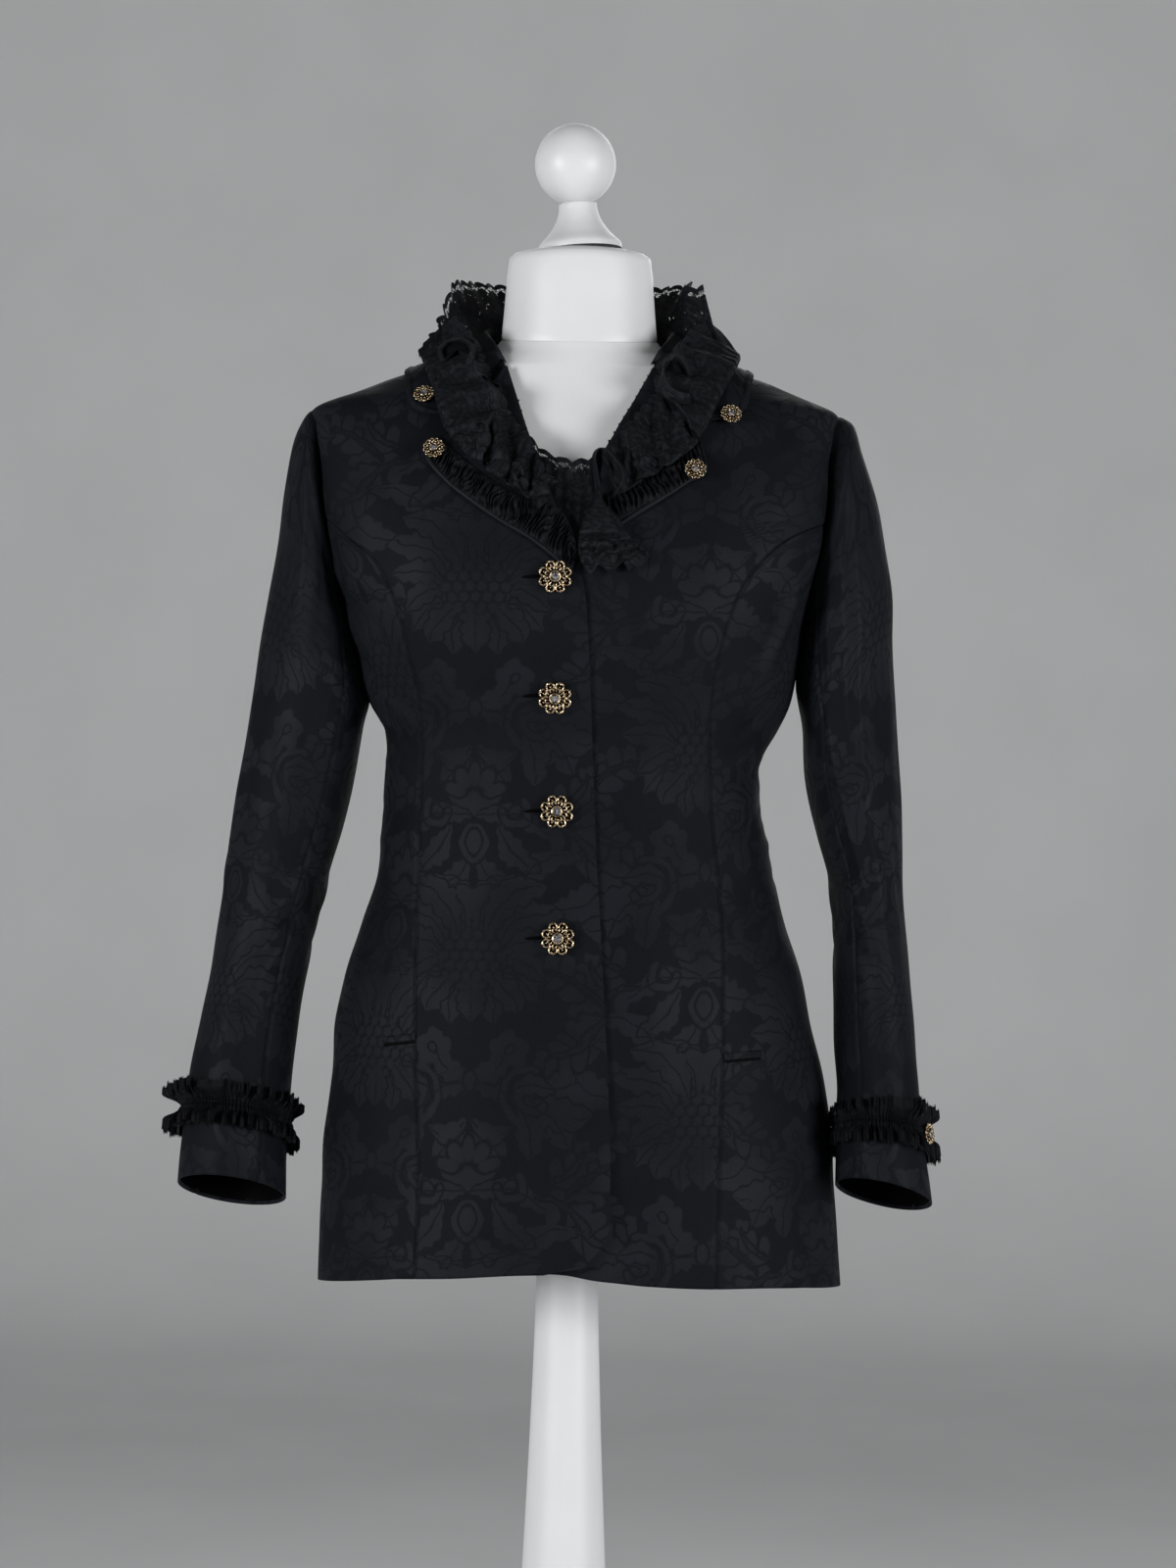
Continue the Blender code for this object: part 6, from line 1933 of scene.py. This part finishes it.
class Nodes:
    """Short names for a material's nodes."""

    def __init__(self, name):
        self.material = bpy.data.materials.new(name)
        self.material.use_nodes = True
        self.tree = self.material.node_tree

    def add(self, kind, inputs=(), **settings):
        """A node with these settings, and values or links for its inputs."""
        node = self.tree.nodes.new(kind)
        for key, value in settings.items():
            setattr(node, key, value)
        for key, value in dict(inputs).items():
            self.put(node.inputs[key], value)
        return node

    def put(self, socket, value):
        """Sets a socket to a colour or a number, or links another node's output to it."""
        if isinstance(value, tuple):
            socket.default_value = (*value, 1.0)
        elif isinstance(value, (int, float)):
            socket.default_value = value
        else:
            self.tree.links.new(value, socket)

    def math(self, operation, *values):
        return self.add("ShaderNodeMath", enumerate(values), operation=operation).outputs[0]

    def plus(self, first, second):
        return self.math("ADD", first, second)

    def less(self, first, second):
        return self.math("SUBTRACT", first, second)

    def times(self, first, second):
        return self.math("MULTIPLY", first, second)

    def most(self, first, second):
        return self.math("MAXIMUM", first, second)

    def least(self, first, second):
        return self.math("MINIMUM", first, second)

    def wave(self, value, pace):
        return self.math("SINE", self.times(value, pace))

    def share(self, *values):
        """A value from low to high turned softly into 0 to 1, or into the last two values."""
        smooth = {"interpolation_type": "SMOOTHSTEP"}
        return self.add("ShaderNodeMapRange", enumerate(values), **smooth).outputs[0]

    def mix(self, factor, first, second):
        inputs = {0: factor, 6: first, 7: second}
        return self.add("ShaderNodeMix", inputs, data_type="RGBA").outputs[2]

    def noise(self, scale, detail=2.0, where=None, roughness=0.5):
        where = where or self.add("ShaderNodeTexCoord").outputs["Object"]
        inputs = {"Scale": scale, "Detail": detail, "Roughness": roughness, "Vector": where}
        return self.add("ShaderNodeTexNoise", inputs).outputs["Fac"]

    def cells(self, scale, where):
        """Distance from the edges of cells of this scale."""
        inputs = {"Scale": scale, "Vector": where}
        node = self.add("ShaderNodeTexVoronoi", inputs, feature="DISTANCE_TO_EDGE")
        return node.outputs["Distance"]

    def bump(self, height, distance, strength=1.0):
        """A normal for this height, where 1 stands for the distance."""
        inputs = {"Distance": distance, "Strength": strength, "Height": height}
        return self.add("ShaderNodeBump", inputs).outputs[0]

    def layer(self, name):
        """An attribute of the mesh: as three numbers and as a vector."""
        node = self.add("ShaderNodeAttribute", attribute_name=name)
        split = self.add("ShaderNodeSeparateXYZ", {0: node.outputs["Vector"]})
        return [*split.outputs, node.outputs["Vector"]]

    def finish(self, **values):
        """The material, once these inputs of its shader are set."""
        shader = self.tree.nodes["Principled BSDF"]
        for key, value in values.items():
            self.put(shader.inputs[INPUTS[key]], value)
        return self.material


def damask_finish():
    """Raised, lighter flowers on dark cloth, where the shapes of one layer outline the next."""
    n = Nodes("damask")
    c, b, a, _ = n.layer("weave")
    rib = n.add("ShaderNodeAttribute", attribute_name="rib").outputs["Fac"]
    inner = n.least(a, b)
    shape = n.least(a, n.most(b, n.less(OUTLINE, a)))
    shape = n.least(shape, n.most(c, n.less(OUTLINE, inner)))
    shape = n.most(shape, n.less(0.65, n.math("ABSOLUTE", rib)))
    ragged = n.times(n.less(n.noise(700.0, 3.0), 0.5), 1.6)
    raised = n.share(n.plus(shape, ragged), 0.75, -0.75)
    raised = n.times(raised, n.share(n.noise(13.0, 2.0), 0.34, 0.66, 0.38, 1.0))
    raised = n.plus(raised, n.times(n.less(n.noise(900.0, 2.0), 0.5), 0.9))
    cloud, thread = n.noise(35.0, 3.0), n.noise(1500.0, 1.0)
    dark = n.mix(cloud, (0.003, 0.0034, 0.005), (0.0047, 0.0052, 0.0072))
    light = n.mix(cloud, (0.0067, 0.0077, 0.0103), (0.0099, 0.0112, 0.0143))
    rough = n.plus(n.plus(n.times(raised, -0.1), 0.64), n.times(thread, 0.08))
    height = n.plus(n.times(raised, 0.5), n.times(thread, 0.5))
    normal = n.bump(height, 0.00025, 0.8)
    return n.finish(colour=n.mix(raised, dark, light), rough=rough, normal=normal, specular=0.06)


def plain_cloth(name, dark, light, rough, specular, grain=1400.0, depth=0.0002):
    """Cloth without a pattern, with a fine grain."""
    n = Nodes(name)
    thread = n.noise(grain, 2.0)
    tone = n.mix(n.plus(n.times(thread, 0.5), n.times(n.noise(60.0, 2.0), 0.5)), dark, light)
    rough = n.plus(n.times(thread, 0.14), rough - 0.07)
    return n.finish(colour=tone, rough=rough, normal=n.bump(thread, depth), specular=specular)


def lace_finish():
    """Worked patches on a net, with a firm border and ribs beside it."""
    n = Nodes("lace")
    along, edge, kind, where = n.layer("lace")
    net = n.share(n.cells(0.95, where), 0.2, 0.08)
    worked = n.share(n.noise(0.21, 3.0, where, 0.6), 0.47, 0.54)
    border = n.times(n.share(edge, 4.4, 3.8), n.share(n.wave(along, 3.9), -0.8, -0.2))
    ribs = n.times(n.share(n.wave(edge, 2.6), -0.1, 0.7), n.share(edge, 10.5, 9.5))
    # holes lie thick under the border and thin out further in, on standing lace only
    level = n.share(edge, 7.0, 10.5, 0.44, 0.685)
    hole = n.share(n.less(n.noise(0.26, 2.0, where, 0.55), level), 0.0, 0.012)
    hole = n.times(n.times(hole, n.share(edge, 4.2, 5.0)), n.share(kind, 0.4, 0.6))
    bars = n.share(n.cells(0.42, where), 0.135, 0.095)
    cover = n.less(1.0, n.times(hole, n.less(1.0, bars)))
    solid = n.most(n.most(n.times(worked, 0.8), border), n.times(ribs, 0.9))
    solid = n.most(solid, n.times(net, 0.45))
    tone = n.mix(solid, (0.0016, 0.0018, 0.0026), (0.0084, 0.0093, 0.012))
    normal = n.bump(solid, 0.0006)
    return n.finish(colour=tone, rough=0.6, alpha=cover, normal=normal, specular=0.08)


def tulle_finish():
    """Fine net with ribs that end in a fringe."""
    n = Nodes("tulle")
    along, edge, _, where = n.layer("lace")
    net = n.share(n.cells(1.1, where), 0.22, 0.1)
    rib = n.share(n.wave(along, 3.6), -0.2, 0.6)
    spikes = n.times(n.math("ABSOLUTE", n.wave(along, 2.1)), 2.2)
    fringe = n.share(n.less(edge, spikes), -0.15, 0.15)
    cover = n.most(n.most(n.most(net, rib), n.share(edge, 3.4, 2.6)), 0.8)
    tone = n.mix(n.times(rib, net), (0.0014, 0.0015, 0.002), (0.008, 0.0087, 0.0112))
    return n.finish(colour=tone, rough=0.6, alpha=n.times(cover, fringe), specular=0.05)


def gold_finish(name, light, dark, rough):
    """Worn, pitted metal, mottled dark and light by noise that is partly wear, partly painted
    highlights and shade.
    """
    n = Nodes(name)
    # The noise stands for wear and for painted highlights and shade on the curls.
    wear_and_glints = n.noise(780.0, 3.0)
    tone = n.mix(n.share(wear_and_glints, 0.42, 0.6), dark, light)
    normal = n.bump(n.noise(1800.0, 2.0), 0.0001, 0.6)
    return n.finish(colour=tone, rough=n.plus(n.times(wear_and_glints, 0.22), rough), metal=1.0, normal=normal)


def stone_finish():
    """Clear cut glass, silvered behind, its tone mottled dark and bright as painted reflections."""
    n = Nodes("stone")
    # Noise paints dark and bright patches: painted reflections on the facets.
    painted_reflections = n.share(n.noise(760.0, 1.0), 0.42, 0.58)
    tone = n.mix(painted_reflections, (0.02, 0.02, 0.024), (0.34, 0.34, 0.37))
    return n.finish(colour=tone, rough=0.06, metal=0.55, specular=0.9, coat=1.0)


def shell_finish():
    """White, slightly gritty plastic."""
    n = Nodes("shell")
    grit = n.noise(900.0, 2.0)
    tone = n.mix(n.noise(14.0, 4.0), (0.56, 0.566, 0.574), (0.64, 0.646, 0.652))
    rough, normal = n.plus(n.times(grit, 0.12), 0.36), n.bump(grit, 0.00008, 0.5)
    return n.finish(colour=tone, rough=rough, normal=normal, specular=0.4)


def stage_finish(name, low, high):
    """Dull paper."""
    n = Nodes(name)
    tone = n.mix(n.noise(3.0, 3.0), low, high)
    normal = n.bump(n.noise(260.0), 0.0002, 0.4)
    return n.finish(colour=tone, rough=0.9, specular=0.1, normal=normal)


MATERIALS = {
    "damask": damask_finish(),
    "lining": plain_cloth("lining", (0.001, 0.001, 0.0013), (0.0018, 0.0018, 0.0023), 0.6, 0.02),
    "satin": plain_cloth("satin", (0.0046, 0.0051, 0.0068), (0.0078, 0.0086, 0.0108), 0.46, 0.08),
    "crepe": plain_cloth(
        "crepe", (0.002, 0.0022, 0.0032), (0.0058, 0.0063, 0.0083), 0.52, 0.07, 700.0, 0.0004
    ),
    "lace": lace_finish(),
    "tulle": tulle_finish(),
    "gold": gold_finish("gold", (0.78, 0.64, 0.44), (0.16, 0.1, 0.05), 0.16),
    # Patina, and painted shade in the gaps of the buttons
    "patina_and_shade": gold_finish("patina_and_shade", (0.012, 0.009, 0.007), (0.004, 0.003, 0.003), 0.6),
    "stone": stone_finish(),
    "shell": shell_finish(),
}

# ---- stage, light and camera ---------------------------------------------------------------

# Lamps: place, target, size, power, spread in degrees
LAMPS = {
    "key": ((-2.5, -2.2, 1.35), (0.0, 0.0, 1.08), 1.0, 84.0, 180),
    "fill": ((2.6, -2.1, 1.25), (0.0, 0.0, 1.05), 1.2, 84.0, 180),
    "back": ((0.4, 2.8, 2.2), (0.0, 0.0, 1.1), 2.4, 9.0, 80),
}
WORLD_LIGHT = 0.2
CAMERA_PLACE = (0.0116, -2.6, 1.088)
CAMERA_ANGLE = 27.2  # degrees from top to bottom
CAMERA_ROLL = 0.73
FLOOR_FRONT, FLOOR_BACK = -4.0, 3.4
BEND = 0.8  # radius of the bend from the floor to the backdrop
BACKDROP_TOP = 5.0
STAGE_ROWS = 24
FLOOR_END, BEND_END = 0.4, 0.7  # shares of the rows
BEND_SHARE = 0.3  # of the bend, and of the wall above it


def make_stage():
    """A floor that bends up into a backdrop."""
    points = []
    for index in range(STAGE_ROWS + 1):
        share = index / STAGE_ROWS
        if share < FLOOR_END:
            y, z = FLOOR_FRONT + (FLOOR_BACK - FLOOR_FRONT) * share / FLOOR_END, 0.0
        elif share < BEND_END:
            angle = (share - FLOOR_END) / BEND_SHARE * math.pi / 2
            y, z = FLOOR_BACK + BEND * math.sin(angle), BEND - BEND * math.cos(angle)
        else:
            rise = (BACKDROP_TOP - BEND) * (share - BEND_END) / BEND_SHARE
            y, z = FLOOR_BACK + BEND, BEND + rise
        points.append([(x, y, z) for x in np.linspace(-5, 5, 9)])
    part = strip(np.array(points), "stage")
    mesh = bpy.data.meshes.new("backdrop")
    mesh.from_pydata(part["points"].tolist(), [], part["faces"].tolist())
    paper = stage_finish("backdrop_paper", (0.62, 0.624, 0.63), (0.71, 0.714, 0.72))
    mesh.materials.append(paper)
    mesh.polygons.foreach_set("use_smooth", [True] * len(mesh.polygons))
    backdrop = bpy.data.objects.new("backdrop", mesh)
    bpy.context.scene.collection.objects.link(backdrop)


def make_light():
    """Even light all round, and three lamps."""
    world = bpy.data.worlds.new("studio")
    world.use_nodes = True
    world.node_tree.nodes["Background"].inputs[0].default_value = (1.0, 1.0, 1.0, 1)
    world.node_tree.nodes["Background"].inputs[1].default_value = WORLD_LIGHT
    bpy.context.scene.world = world
    for name, (place, target, size, power, spread) in LAMPS.items():
        lamp = bpy.data.lights.new(name, "AREA")
        lamp.spread = math.radians(spread)
        lamp.shape, lamp.size, lamp.energy = "SQUARE", size, power
        holder = bpy.data.objects.new(name, lamp)
        holder.location = place
        way = Vector(target) - Vector(place)
        holder.rotation_euler = way.to_track_quat("-Z", "Y").to_euler()
        bpy.context.scene.collection.objects.link(holder)


def make_camera():
    """The photograph's view."""
    lens = bpy.data.cameras.new("camera")
    lens.sensor_fit = "VERTICAL"
    lens.angle_y = math.radians(CAMERA_ANGLE)
    holder = bpy.data.objects.new("camera", lens)
    level = Matrix.Rotation(math.radians(90), 4, "X")
    roll = Matrix.Rotation(math.radians(CAMERA_ROLL), 4, "Z")
    holder.matrix_world = Matrix.Translation(CAMERA_PLACE) @ level @ roll
    bpy.context.scene.collection.objects.link(holder)
    bpy.context.scene.camera = holder


# ---- the whole -----------------------------------------------------------------------------

bpy.context.scene.view_settings.view_transform = "Standard"
make_camera()
make_light()
make_stage()
make_torso()
make_neck_cap()
make_finial()
make_stand()
for side_name in SIDES:
    for facing in (FRONT, BACK):
        make_half(side_name, facing)
        make_side(side_name, facing)
    make_sleeve(side_name)
    make_lapel(side_name)
    make_band(side_name)
    make_pocket(side_name)
    for name in CUFF_FRILLS:
        make_cuff_frill(side_name, name)
make_body_lining()
make_collar()
for side_name in SIDES:
    under = ["collar", *(f"{name}_{side_name}" for name in ("lapel", "ruched_band", "front"))]
    make_flounce(side_name, surface_tree(under))
make_inset()
make_nape_frill()
make_buttons()
make_buttonholes()
